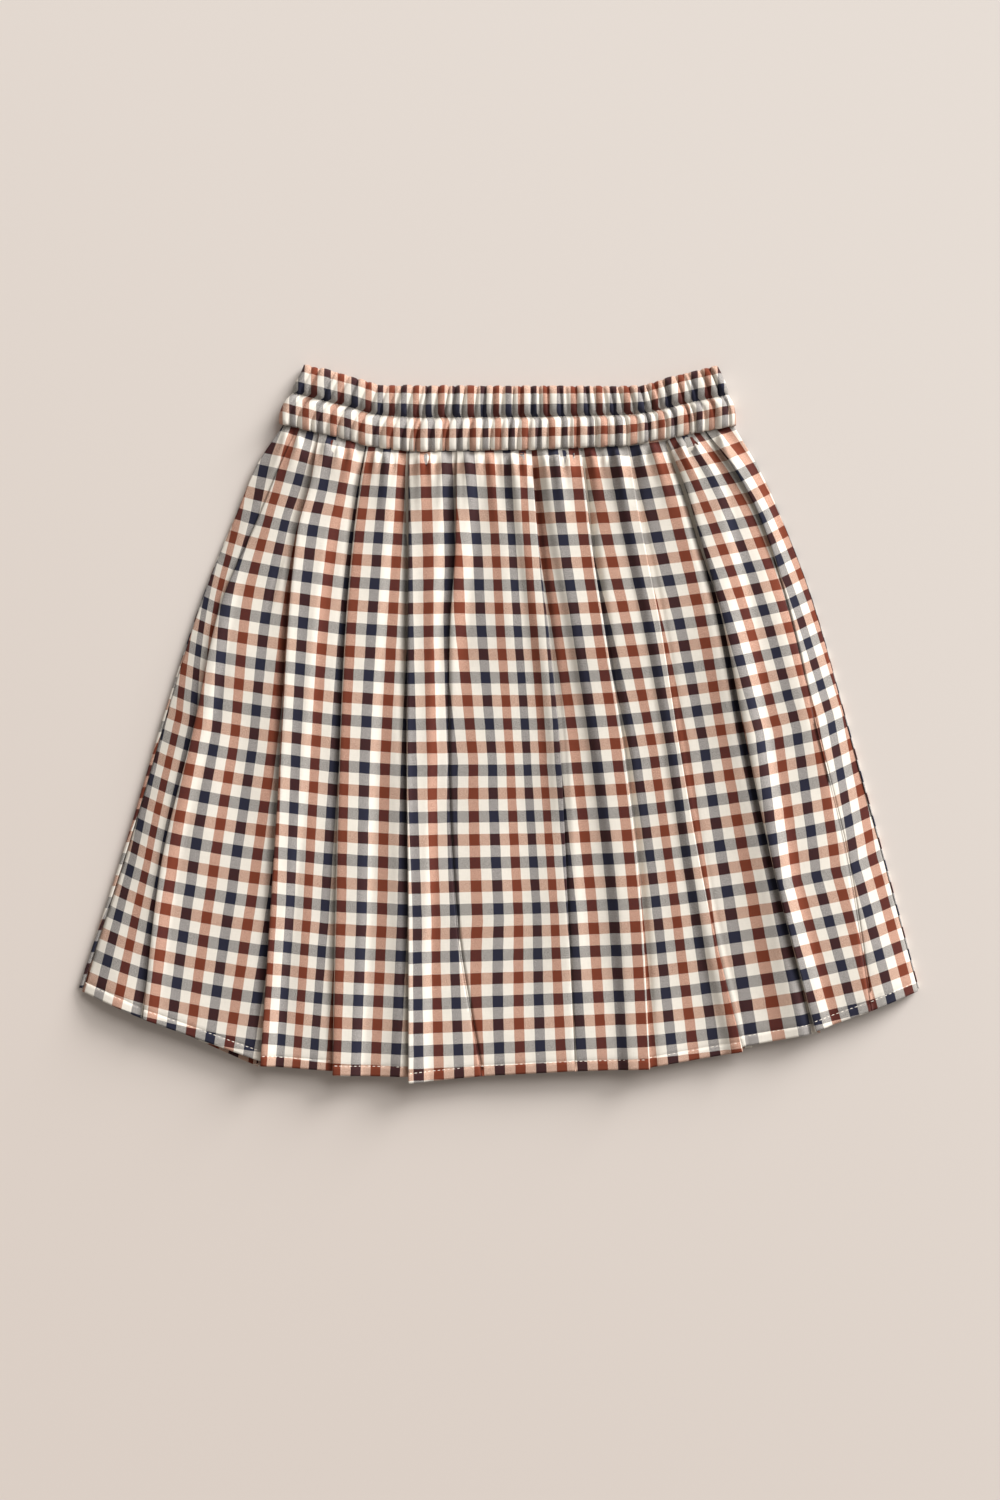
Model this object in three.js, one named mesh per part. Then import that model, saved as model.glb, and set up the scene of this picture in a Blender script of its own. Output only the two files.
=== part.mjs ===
// A gathered skort, laid flat on a table: a skirt of woven cotton with an elastic waistband in two
// channels and plain shorts inside. Millimetres. +X is to the viewer's right, +Y is towards the waist
// and +Z is up. The origin is the middle of the bottom of the whole.
//
// Every panel is one wall of cloth. It is built from rows that run across the garment, the first at
// the hem and the last at the waist seam. A row crosses each fold as a Z of three layers, and the
// cloth hidden in the Z grows less towards the hem, so that the skirt flares.
import * as THREE from 'three';

// ---- driving sizes ----
const WALL = 1.2;
const SEAM_GAP = 0.3;
const LAYER_PITCH = 1.6;
const FOLD_FULL = 2.5;
const FOLD_LEAST = 0.2;
const RAMP = 8;
const OVERLAP_END = 2;
const FRONT_STEP = 12;
const BACK_STEP = 50;

// Levels of the middle of the cloth wall.
const BACK_LEVEL = WALL / 2;
const SIDE_LEVEL = WALL * 1.5 + SEAM_GAP;
const BODY_RISE = 3.2;
const SHORTS_RISE = 3;
const SIDE_ROLL = 12;
const SIDE_LIFT = 3.2;
const SIDE_LIFT_FROM = 120;
const SIDE_LIFT_RUN = 80;

// Shorts: levels of the undersides of their two layers, and their plan.
const SHORTS_BACK_LEVEL = 4.7;
const SHORTS_FRONT_LEVEL = 6.2;
const SHORTS_CENTRE = 7;
const SHORTS_HALF_WAIST = 145;
const SHORTS_HALF_HEM = 212;
const SHORTS_WAIST_Y = 207;
const SHORTS_HEM_Y = -105;
const CROTCH_Y = -24;
const CROTCH_DEPTH = 46;
const LEG_GAP = 6;
const SHORTS_SLOPE = 25;
const SHORTS_HEM_SLOPE = 42;

// Waistband: two 20 mm elastics in channels, drawn up into ripples.
const BAND_BACK_TOP = 5.2;
const BAND_RIPPLES = 46;
const RIPPLE_HEIGHT = 0.8;
const BAND_END_ROUND = 6;
const BAND_INSIDE_COLUMNS = 12;

// Small gathers below the waist seam.
const GATHER_HEIGHT = 2.1;
const GATHER_FADE = 0.8;

// ---- tables ----
// Heights of the stations at which sides and folds are given: 1 is the waist seam, 0 is the hem.
const STATIONS = [1, 0.93, 0.85, 0.7, 0.5, 0.25, 0];

// Rows of cloth from the hem up.
const ROWS = [0, 0.1, 0.2, 0.3, 0.42, 0.54, 0.63, 0.72, 0.78, 0.83, 0.88, 0.93, 0.97, 1];

// Folds of the front from left to right, between its two sides. x is where the fold's edge lies at
// each station and hidden is the width of cloth in the fold. over is the side whose cloth lies
// outermost. hemLeft and hemRight are the y of the hem on each side of the fold. gathers is the
// count of small gathers from here to the next row.
const FRONT_FOLDS = [
  {
    name: 'left side', over: 'none', gathers: 0, hemLeft: -190.5, hemRight: -190.5,
    x: [-155, -173.5, -187, -211.5, -238, -268, -300.5], hidden: [0, 0, 0, 0, 0, 0, 0],
  },
  {
    name: 'left trough', over: 'right', gathers: 1, hemLeft: -211, hemRight: -211,
    x: [-145, -158, -172, -199, -217, -244, -254], hidden: [0, 0, 0, 3, 9.5, 7, 2.5],
  },
  {
    name: 'first fold', over: 'right', gathers: 1, hemLeft: -241, hemRight: -244,
    x: [-129, -134, -143.5, -150.5, -155.5, -162.5, -170], hidden: [39, 39, 36, 31, 25.5, 14, 5],
  },
  {
    name: 'second fold', over: 'right', gathers: 0, hemLeft: -248.5, hemRight: -251,
    x: [-94.5, -99.5, -104, -109.5, -113.5, -116.5, -118.5], hidden: [35, 39, 40, 39, 37, 31, 24.5],
  },
  {
    name: 'middle fold', over: 'right', gathers: 1, hemLeft: -252.5, hemRight: -256.5,
    x: [-64.5, -64.5, -64.5, -65, -65.5, -64.5, -64.5], hidden: [40, 40, 36, 29, 25, 18, 12],
  },
  {
    name: 'short fold', over: 'right', gathers: 4, hemLeft: -251.5, hemRight: -251.5,
    x: [-30, -30.5, -31, -35, -36, -30, -12], hidden: [12, 12, 10, 3, 0, 0, 0],
  },
  {
    name: 'fading fold', over: 'left', gathers: 1, hemLeft: -248, hemRight: -248,
    x: [23, 25, 28, 35.5, 44, 49, 54], hidden: [19, 18.5, 15, 9, 3, 0, 0],
  },
  {
    name: 'long fold', over: 'left', gathers: 3, hemLeft: -247, hemRight: -245.5,
    x: [58, 61.5, 65.5, 75.5, 89.5, 101.5, 107.5], hidden: [45, 45, 42, 36, 31.5, 27, 23.5],
  },
  {
    name: 'soft fold', over: 'left', gathers: 3, hemLeft: -234, hemRight: -230.5,
    x: [92, 96.5, 102.5, 115, 128.5, 148, 173.5], hidden: [12, 12, 10, 7, 5.5, 5.2, 5.2],
  },
  {
    name: 'deep fold', over: 'right', gathers: 1, hemLeft: -221, hemRight: -219.5,
    x: [120.5, 132, 142, 159, 175.5, 198, 225.5], hidden: [38, 38, 33, 25, 16, 11, 7],
  },
  {
    name: 'right gather', over: 'right', gathers: 0, hemLeft: -205, hemRight: -205,
    x: [149, 170, 187, 207, 226, 250, 266], hidden: [7, 8, 5, 0, 0, 0, 0],
  },
  {
    name: 'right side', over: 'none', gathers: 0, hemLeft: -191, hemRight: -191,
    x: [169, 185.5, 200.5, 223.5, 246.5, 274, 300.5], hidden: [0, 0, 0, 0, 0, 0, 0],
  },
];

// Folds of the back, fewer than the front's and as uneven. The table has the same columns.
const BACK_FOLDS = [
  {
    name: 'left side', over: 'none', gathers: 3, hemLeft: -189, hemRight: -189,
    x: [-155, -173.5, -187, -211.5, -238, -268, -300.5], hidden: [0, 0, 0, 0, 0, 0, 0],
  },
  {
    name: 'first back fold', over: 'left', gathers: 4, hemLeft: -238, hemRight: -239,
    x: [-112, -118, -125, -135, -148, -160, -172], hidden: [26, 26, 25, 22, 18, 12, 8],
  },
  {
    name: 'second back fold', over: 'left', gathers: 5, hemLeft: -250, hemRight: -251,
    x: [-46, -48, -51, -56, -64, -74, -82], hidden: [30, 30, 28, 25, 22, 18, 14],
  },
  {
    name: 'third back fold', over: 'right', gathers: 4, hemLeft: -248, hemRight: -247,
    x: [40, 42, 45, 52, 60, 70, 80], hidden: [28, 28, 26, 23, 18, 14, 10],
  },
  {
    name: 'fourth back fold', over: 'right', gathers: 3, hemLeft: -232, hemRight: -231,
    x: [108, 114, 121, 133, 148, 164, 178], hidden: [24, 24, 23, 20, 15, 10, 7],
  },
  {
    name: 'right side', over: 'none', gathers: 0, hemLeft: -189.5, hemRight: -189.5,
    x: [169, 185.5, 200.5, 223.5, 246.5, 274, 300.5], hidden: [0, 0, 0, 0, 0, 0, 0],
  },
];

// The seam between the skirt and the waistband, and the waistband's top edge.
const WAIST_SEAM = [
  { x: -156.5, y: 213 },
  { x: -129, y: 205.5 },
  { x: -94.5, y: 198 },
  { x: -64.5, y: 194.5 },
  { x: 23, y: 195 },
  { x: 92, y: 198 },
  { x: 120.5, y: 201.5 },
  { x: 169, y: 211 },
];
const BAND_TOP_EDGE = [
  { x: -139.5, y: 256 },
  { x: -116, y: 250.5 },
  { x: -99, y: 245.5 },
  { x: -85, y: 241 },
  { x: 101, y: 240.5 },
  { x: 129, y: 249 },
  { x: 156.5, y: 255 },
];

// The waistband from the waist seam up: up is the share of its height, proud is how far its face
// stands off its flat inside, ripple is the share of the ripples' height, and left and right are
// where its ends lie. The middle row is the seam between the two elastic channels.
const BAND_ROWS = [
  { up: 0, proud: 3, ripple: 0.7, left: -156.5, right: 169 },
  { up: 0.08, proud: 4.2, ripple: 1, left: -157.5, right: 169.5 },
  { up: 0.26, proud: 4.9, ripple: 1, left: -155, right: 168.5 },
  { up: 0.43, proud: 4.1, ripple: 0.9, left: -151, right: 166 },
  { up: 0.5, proud: 2.8, ripple: 0.6, left: -147.5, right: 164 },
  { up: 0.57, proud: 4.1, ripple: 0.9, left: -147.5, right: 164 },
  { up: 0.77, proud: 4.9, ripple: 1, left: -144, right: 161 },
  { up: 0.94, proud: 4, ripple: 1, left: -140.5, right: 158 },
  { up: 1, proud: 2.2, ripple: 0.7, left: -139.5, right: 156.5 },
];

// ---- numbers ----
const { lerp, clamp } = THREE.MathUtils;
const smooth = (t) => THREE.MathUtils.smoothstep(t, 0, 1);

// An even spread of numbers from 0 to 1 that look unordered.
function vary(index, seed) {
  const wave = Math.sin(index * 12.9898 + seed * 78.233) * 43758.5453;
  return wave - Math.floor(wave);
}

// A value between the stations, with a slope at each station that never overshoots its neighbours.
function atStation(values, v) {
  const last = STATIONS.length - 1;
  const slopes = values.map((value, i) => {
    if (i === 0 || i === last) {
      return 0;
    }
    const before = (value - values[i - 1]) / (STATIONS[i] - STATIONS[i - 1]);
    const after = (values[i + 1] - value) / (STATIONS[i + 1] - STATIONS[i]);
    return before * after > 0 ? (2 * before * after) / (before + after) : 0;
  });
  slopes[0] = (values[1] - values[0]) / (STATIONS[1] - STATIONS[0]);
  slopes[last] = (values[last] - values[last - 1]) / (STATIONS[last] - STATIONS[last - 1]);
  let i = 0;
  while (i < last - 1 && v < STATIONS[i + 1]) {
    i += 1;
  }
  const span = STATIONS[i + 1] - STATIONS[i];
  const t = (v - STATIONS[i]) / span;
  const start = values[i] * (1 + 2 * t) + slopes[i] * span * t;
  const end = values[i + 1] * (3 - 2 * t) - slopes[i + 1] * span * (1 - t);
  return start * (1 - t) ** 2 + end * t ** 2;
}

// A value read off a line of joined points, such as the waist seam.
function alongLine(line, x) {
  let i = 0;
  while (i < line.length - 2 && x > line[i + 1].x) {
    i += 1;
  }
  const share = clamp((x - line[i].x) / (line[i + 1].x - line[i].x), 0, 1);
  return lerp(line[i].y, line[i + 1].y, share);
}

// ---- levels ----
function shortsEdge(y) {
  const down = (SHORTS_WAIST_Y - y) / (SHORTS_WAIST_Y - SHORTS_HEM_Y);
  return lerp(SHORTS_HALF_WAIST, SHORTS_HALF_HEM, down);
}

// The side seams lift off the table towards the waist, to meet the ends of the waistband.
function sideLift(y) {
  return SIDE_LIFT * smooth((y - SIDE_LIFT_FROM) / SIDE_LIFT_RUN);
}

// The front lies low at its sides, higher over the back, and highest over the shorts.
function frontLevel(x, y, left, right) {
  const inward = smooth(Math.min(x - left, right - x) / SIDE_ROLL);
  const outside = Math.abs(x - SHORTS_CENTRE) - shortsEdge(y) - OVERLAP_END;
  const overShorts = smooth(1 - outside / SHORTS_SLOPE);
  const overLegs = smooth((y - SHORTS_HEM_Y) / SHORTS_HEM_SLOPE + 1.4);
  const body = SIDE_LEVEL + BODY_RISE + SHORTS_RISE * overShorts * overLegs;
  return lerp(SIDE_LEVEL + sideLift(y), body, inward);
}

// The back lies flat on the table but for its sides.
function backLevel(x, y, left, right) {
  const inward = smooth(Math.min(x - left, right - x) / SIDE_ROLL);
  return BACK_LEVEL + sideLift(y) * (1 - inward);
}

// ---- folds ----
// One fold at one height: where it starts and ends, how far the cloth turns round and how high the
// turned cloth stands. A rising fold leads from the low layer to the high one.
function foldAt(row, v, facesUp) {
  const x = atStation(row.x, v);
  const depth = Math.max(0, atStation(row.hidden, v) / 2);
  const present = row.over !== 'none' && depth > FOLD_LEAST;
  const overRight = row.over === 'right';
  const radius = LAYER_PITCH / 2;
  const turn = Math.PI * Math.min(1, depth / FOLD_FULL);
  const halfOpen = (2 * radius) / Math.tan(turn / 2);
  const flat = depth < FOLD_FULL ? Math.min(depth / 2, halfOpen) : depth - radius - WALL / 2;
  const height = present ? 2 * radius * (1 - Math.cos(turn)) + flat * Math.sin(turn) : 0;
  return {
    ...row,
    x,
    present,
    radius,
    turn,
    flat,
    height,
    rises: overRight === facesUp,
    low: overRight ? x : x - depth,
    high: overRight ? x + depth : x,
  };
}

// The Z of a fold: a turn at its right, a flat layer back, and a turn at its left. Its heights run
// up from the low layer in a rising fold, and down to it in a falling one.
function foldProfile(fold) {
  const profile = [];
  const { radius, turn, flat, height, rises } = fold;
  const innerSteps = 2;
  const outerSteps = 3;
  for (let i = 0; i <= innerSteps; i += 1) {
    const angle = (turn * i) / innerSteps;
    profile.push({ x: radius * Math.sin(angle), z: radius * (1 - Math.cos(angle)) });
  }
  const middle = profile[innerSteps];
  const start = { x: middle.x + flat * Math.cos(turn), z: middle.z + flat * Math.sin(turn) };
  for (let i = 0; i <= outerSteps; i += 1) {
    const angle = turn * (1 - i / outerSteps);
    profile.push({
      x: start.x + radius * (Math.sin(turn) - Math.sin(angle)),
      z: start.z + radius * (Math.cos(angle) - Math.cos(turn)),
    });
  }
  return profile.map(({ x, z }) => ({ x, z: rises ? z : height - z }));
}

// Height that a fold lends to the strips beside it, which falls away within a ramp.
function leftOver(fold, x) {
  if (fold.rises) {
    return fold.height * (1 - smooth((x - fold.high - OVERLAP_END) / RAMP));
  }
  return fold.height * smooth((x - fold.low + OVERLAP_END + RAMP) / RAMP);
}

function stackHeight(folds, index, x) {
  let height = 0;
  folds.forEach((fold, i) => {
    const passed = i <= index;
    if (fold.present && passed === fold.rises) {
      height += leftOver(fold, x);
    }
  });
  return height;
}

// ---- rows of a panel ----
// Places across the strip from one fold to the next: close together in the ramps, the side rolls
// and the gathers, and a step apart elsewhere.
function stripPlaces(from, to, v, step, isFirst, isLast) {
  const fromRamp = from.present && from.rises;
  const toRamp = to.present && !to.rises;
  const start = from.present ? from.high + OVERLAP_END : from.x;
  const end = to.present ? to.low - OVERLAP_END : to.x;
  const width = end - start;
  if (v > GATHER_FADE && from.gathers > 0) {
    const steps = 2 * from.gathers;
    return Array.from({ length: steps + 1 }, (_, i) => start + (width * i) / steps);
  }
  const places = new Set([start, end]);
  if (fromRamp || isFirst) {
    const reach = isFirst ? SIDE_ROLL : RAMP;
    [0.33, 0.67, 1].forEach((share) => places.add(start + Math.min(reach, width * 0.45) * share));
  }
  if (toRamp || isLast) {
    const reach = isLast ? SIDE_ROLL : RAMP;
    [0.33, 0.67, 1].forEach((share) => places.add(end - Math.min(reach, width * 0.45) * share));
  }
  const sorted = [...places].sort((a, b) => a - b);
  return sorted.flatMap((place, i) => {
    const gap = i < sorted.length - 1 ? sorted[i + 1] - place : 0;
    const parts = Math.max(1, Math.ceil(gap / step));
    return Array.from({ length: parts }, (_, j) => place + (gap * j) / parts);
  });
}

// Small gathers: each strip's are ridges between two flat ends, and each dies out at its own height.
function gatherHeight(strip, place, places, v) {
  if (v <= GATHER_FADE || place % 2 === 0 || place === places - 1) {
    return 0;
  }
  const fade = lerp(GATHER_FADE, 0.9, vary(strip * 7 + place, 3));
  const size = lerp(0.65, 1, vary(strip * 5 + place, 1));
  return GATHER_HEIGHT * size * smooth((v - fade) / (1 - fade));
}

// One row of the middle of the wall. Each point has a key, which grows along the row, and which
// says what it belongs to, so that rows with unlike points can be joined.
function panelRow(table, v, facesUp, step, level) {
  const folds = table.map((row) => foldAt(row, v, facesUp));
  const left = folds[0].x;
  const right = folds[folds.length - 1].x;
  const points = [];
  const addPoint = (key, x, lift, hem, seamX) => {
    const y = lerp(hem, alongLine(WAIST_SEAM, seamX) - SEAM_GAP, v);
    points.push({ key, x, y, z: level(x, y, left, right) + lift });
  };
  folds.forEach((fold, index) => {
    if (fold.present) {
      const profile = foldProfile(fold);
      profile.forEach((spot, i) => {
        const share = (i + 1) / (profile.length + 1);
        const x = fold.high + spot.x;
        const around = stackHeight(folds, index, x) - (fold.rises ? leftOver(fold, x) : 0);
        const hem = lerp(fold.hemLeft, fold.hemRight, share);
        addPoint(index - 0.2 + 0.2 * share, x, spot.z + around, hem, table[index].x[0] + x - fold.x);
      });
    }
    if (index === folds.length - 1) {
      return;
    }
    const next = folds[index + 1];
    const isLast = index === folds.length - 2;
    const places = stripPlaces(fold, next, v, step, index === 0, isLast);
    places.forEach((x, i) => {
      if (i === places.length - 1 && !next.present && !isLast) {
        return;
      }
      const share = clamp((x - fold.x) / (next.x - fold.x), 0, 1);
      const key = index + 0.01 + (0.78 * (x - places[0])) / (places[places.length - 1] - places[0]);
      const lift = stackHeight(folds, index, x) + gatherHeight(index, i, places.length, v);
      const seamX = lerp(table[index].x[0], table[index + 1].x[0], share);
      addPoint(key, x, lift, lerp(fold.hemRight, next.hemLeft, share), seamX);
    });
  });
  return points;
}

// Moves a row's points out or in by half the wall, square to the row.
function offsetRow(row, distance) {
  return row.map((point, i) => {
    const before = row[Math.max(0, i - 1)];
    const after = row[Math.min(row.length - 1, i + 1)];
    const dx = after.x - before.x;
    const dz = after.z - before.z;
    const scale = distance / Math.hypot(dx, dz);
    return { ...point, x: point.x - dz * scale, z: point.z + dx * scale };
  });
}

// ---- solids ----
class SolidBuilder {
  constructor() {
    this.positions = [];
    this.triangles = [];
  }

  addRow(row) {
    return row.map((point) => {
      this.positions.push(point.x, point.y, point.z);
      return { key: point.key, id: this.positions.length / 3 - 1 };
    });
  }

  // Joins two rows by their keys. The face looks up when the second row lies above the first.
  join(first, second, flip) {
    let i = 0;
    let j = 0;
    while (i < first.length - 1 || j < second.length - 1) {
      const stepFirst = i < first.length - 1 ? first[i + 1].key : Infinity;
      const stepSecond = j < second.length - 1 ? second[j + 1].key : Infinity;
      if (stepFirst <= stepSecond) {
        this.addTriangle(first[i].id, first[i + 1].id, second[j].id, flip);
        i += 1;
      } else {
        this.addTriangle(first[i].id, second[j + 1].id, second[j].id, flip);
        j += 1;
      }
    }
  }

  addTriangle(a, b, c, flip) {
    this.triangles.push(...(flip ? [a, c, b] : [a, b, c]));
  }

  toGeometry() {
    const geometry = new THREE.BufferGeometry();
    geometry.setAttribute('position', new THREE.Float32BufferAttribute(this.positions, 3));
    geometry.setIndex(this.triangles);
    geometry.computeVertexNormals();
    return geometry;
  }
}

// Closes an upper and a lower sheet of rows into one solid. Both have the same count of rows.
function closeSheets(upperRows, lowerRows) {
  const solid = new SolidBuilder();
  const upper = upperRows.map((row) => solid.addRow(row));
  const lower = lowerRows.map((row) => solid.addRow(row));
  const last = upper.length - 1;
  for (let r = 0; r < last; r += 1) {
    solid.join(upper[r], upper[r + 1], false);
    solid.join(lower[r], lower[r + 1], true);
    const [upperStart, upperNext] = [upper[r][0].id, upper[r + 1][0].id];
    const [lowerStart, lowerNext] = [lower[r][0].id, lower[r + 1][0].id];
    solid.addTriangle(upperStart, upperNext, lowerNext, false);
    solid.addTriangle(upperStart, lowerNext, lowerStart, false);
    const [upperEnd, upperEndNext] = [upper[r].at(-1).id, upper[r + 1].at(-1).id];
    const [lowerEnd, lowerEndNext] = [lower[r].at(-1).id, lower[r + 1].at(-1).id];
    solid.addTriangle(upperEnd, lowerEndNext, upperEndNext, false);
    solid.addTriangle(upperEnd, lowerEnd, lowerEndNext, false);
  }
  solid.join(lower[0], upper[0], false);
  solid.join(upper[last], lower[last], false);
  return solid.toGeometry();
}

function panelGeometry(table, facesUp, step, level) {
  const rows = ROWS.map((v) => panelRow(table, v, facesUp, step, level));
  const upper = rows.map((row) => offsetRow(row, WALL / 2));
  const lower = rows.map((row) => offsetRow(row, -WALL / 2));
  return closeSheets(upper, lower);
}

// ---- waistband ----
// Places along the band: three in each rounded end, and two for each ripple, its ridge and groove.
function bandPlaces(length) {
  const inset = BAND_END_ROUND / length;
  const places = [
    { share: 0, ridge: 0 },
    { share: inset * 0.15, ridge: 0 },
    { share: inset * 0.5, ridge: 0 },
  ];
  for (let i = 0; i <= 2 * BAND_RIPPLES; i += 1) {
    const shift = (vary(i, 5) - 0.5) * 0.5;
    const size = lerp(0.55, 1, vary(i, 9));
    const share = lerp(inset, 1 - inset, clamp((i + shift) / (2 * BAND_RIPPLES), 0, 1));
    places.push({ share, ridge: (i % 2 === 0 ? -1 : 1) * size });
  }
  places.push({ share: 1 - inset * 0.5, ridge: 0 });
  places.push({ share: 1 - inset * 0.15, ridge: 0 });
  places.push({ share: 1, ridge: 0 });
  return places;
}

function bandPoint(row, share, z) {
  const seamX = lerp(BAND_ROWS[0].left, BAND_ROWS[0].right, share);
  const topX = lerp(BAND_ROWS.at(-1).left, BAND_ROWS.at(-1).right, share);
  const seamY = alongLine(WAIST_SEAM, seamX) + SEAM_GAP / 2;
  const y = lerp(seamY, alongLine(BAND_TOP_EDGE, topX), row.up);
  return { key: share, x: lerp(row.left, row.right, share), y, z };
}

// Half of the band, whose face looks up or down from a flat inside. A face that looks down is
// pressed flat where its ripples reach the table.
function bandGeometry(inside, facesUp) {
  const length = BAND_ROWS[0].right - BAND_ROWS[0].left;
  const places = bandPlaces(length);
  const face = BAND_ROWS.map((row) => places.map(({ share, ridge }) => {
    const fromEnd = clamp((Math.min(share, 1 - share) * length) / BAND_END_ROUND, 0.02, 1);
    const round = Math.sqrt(1 - (1 - fromEnd) ** 2);
    const proud = row.proud * round + ridge * row.ripple * RIPPLE_HEIGHT;
    return bandPoint(row, share, facesUp ? inside + proud : Math.max(0, inside - proud));
  }));
  const columns = Array.from({ length: BAND_INSIDE_COLUMNS + 1 }, (_, i) => i / BAND_INSIDE_COLUMNS);
  const edgeColumns = places.map(({ share }) => share);
  const back = BAND_ROWS.map((row, r) => {
    const isEdge = r === 0 || r === BAND_ROWS.length - 1;
    return (isEdge ? edgeColumns : columns).map((share) => bandPoint(row, share, inside));
  });
  return facesUp ? closeSheets(face, back) : closeSheets(back, face);
}

// ---- shorts ----
// One flat quarter of the shorts: waist, outer side, leg hem, inner leg and curved crotch seam.
function shortsGeometry(side) {
  const place = (fromCentre, y) => [SHORTS_CENTRE + side * fromCentre, y];
  const waist = (fromCentre) => {
    const [x] = place(fromCentre, 0);
    return [x, alongLine(WAIST_SEAM, x) - 2 * SEAM_GAP];
  };
  const outline = new THREE.Shape();
  outline.moveTo(...waist(SEAM_GAP / 2));
  [0.3, 0.5, 0.7, 0.85, 1].forEach((share) => outline.lineTo(...waist(share * SHORTS_HALF_WAIST)));
  outline.lineTo(...place(SHORTS_HALF_HEM, SHORTS_HEM_Y));
  outline.lineTo(...place(LEG_GAP, SHORTS_HEM_Y));
  outline.lineTo(...place(LEG_GAP / 2, CROTCH_Y));
  outline.quadraticCurveTo(...place(SEAM_GAP / 2, CROTCH_Y), ...place(SEAM_GAP / 2, CROTCH_Y + CROTCH_DEPTH));
  outline.closePath();
  return new THREE.ExtrudeGeometry(outline, { depth: WALL, bevelEnabled: false, curveSegments: 5 });
}

// ---- assembly ----
function makePiece(name, geometry, colour) {
  const material = new THREE.MeshStandardMaterial({ color: colour, roughness: 0.9, metalness: 0 });
  const piece = new THREE.Mesh(geometry, material);
  piece.name = name;
  return piece;
}

const CHECKED_COTTON = '#b09484';
const PLAIN_COTTON = '#efe6d8';
const ELASTIC_BAND = '#c2aa98';

const skort = new THREE.Group();
skort.add(makePiece('front_panel', panelGeometry(FRONT_FOLDS, true, FRONT_STEP, frontLevel), CHECKED_COTTON));
skort.add(makePiece('back_panel', panelGeometry(BACK_FOLDS, false, BACK_STEP, backLevel), CHECKED_COTTON));
skort.add(makePiece('waistband_front', bandGeometry(BAND_BACK_TOP + SEAM_GAP, true), ELASTIC_BAND));
skort.add(makePiece('waistband_back', bandGeometry(BAND_BACK_TOP, false), ELASTIC_BAND));

const SHORTS_LAYERS = [
  { name: 'shorts_front', level: SHORTS_FRONT_LEVEL },
  { name: 'shorts_back', level: SHORTS_BACK_LEVEL },
];
const SHORTS_SIDES = [
  { name: 'left', side: -1 },
  { name: 'right', side: 1 },
];
SHORTS_LAYERS.forEach((layer) => {
  SHORTS_SIDES.forEach(({ name, side }) => {
    const piece = makePiece(`${layer.name}_${name}`, shortsGeometry(side), PLAIN_COTTON);
    piece.position.z = layer.level;
    skort.add(piece);
  });
});

export default skort;
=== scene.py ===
"""A gathered skort of checked cotton, laid flat: its cloth, seams, stitches and finishes."""

import math

import bmesh
import bpy
import numpy as np
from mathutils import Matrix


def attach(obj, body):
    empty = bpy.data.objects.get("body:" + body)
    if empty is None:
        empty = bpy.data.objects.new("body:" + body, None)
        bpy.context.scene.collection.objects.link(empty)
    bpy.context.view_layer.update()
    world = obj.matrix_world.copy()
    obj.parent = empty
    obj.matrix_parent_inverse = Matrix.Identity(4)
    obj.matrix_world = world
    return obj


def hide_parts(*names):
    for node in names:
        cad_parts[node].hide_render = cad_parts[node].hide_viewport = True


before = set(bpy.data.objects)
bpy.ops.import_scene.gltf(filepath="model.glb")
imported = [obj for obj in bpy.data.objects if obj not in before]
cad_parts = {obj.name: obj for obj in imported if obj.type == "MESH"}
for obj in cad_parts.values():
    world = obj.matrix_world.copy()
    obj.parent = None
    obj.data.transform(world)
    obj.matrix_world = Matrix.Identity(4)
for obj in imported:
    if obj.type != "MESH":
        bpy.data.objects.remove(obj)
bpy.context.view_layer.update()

bl_info = {
    "name": "Checked skort",
    "version": (1, 0, 0),
    "blender": (4, 5, 0),
    "location": "3D View > Sidebar > Skort",
    "description": "Makes the cloth, waistband, shorts and stitching of a gathered checked skort",
    "category": "Mesh",
}

MM = 0.001

# ---------------------------------------------------------------- tables, in millimetres

# Stations down the skirt: 1 is the waist seam and 0 is the hem.
STATIONS = (1.0, 0.93, 0.85, 0.7, 0.5, 0.25, 0.0)

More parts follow.
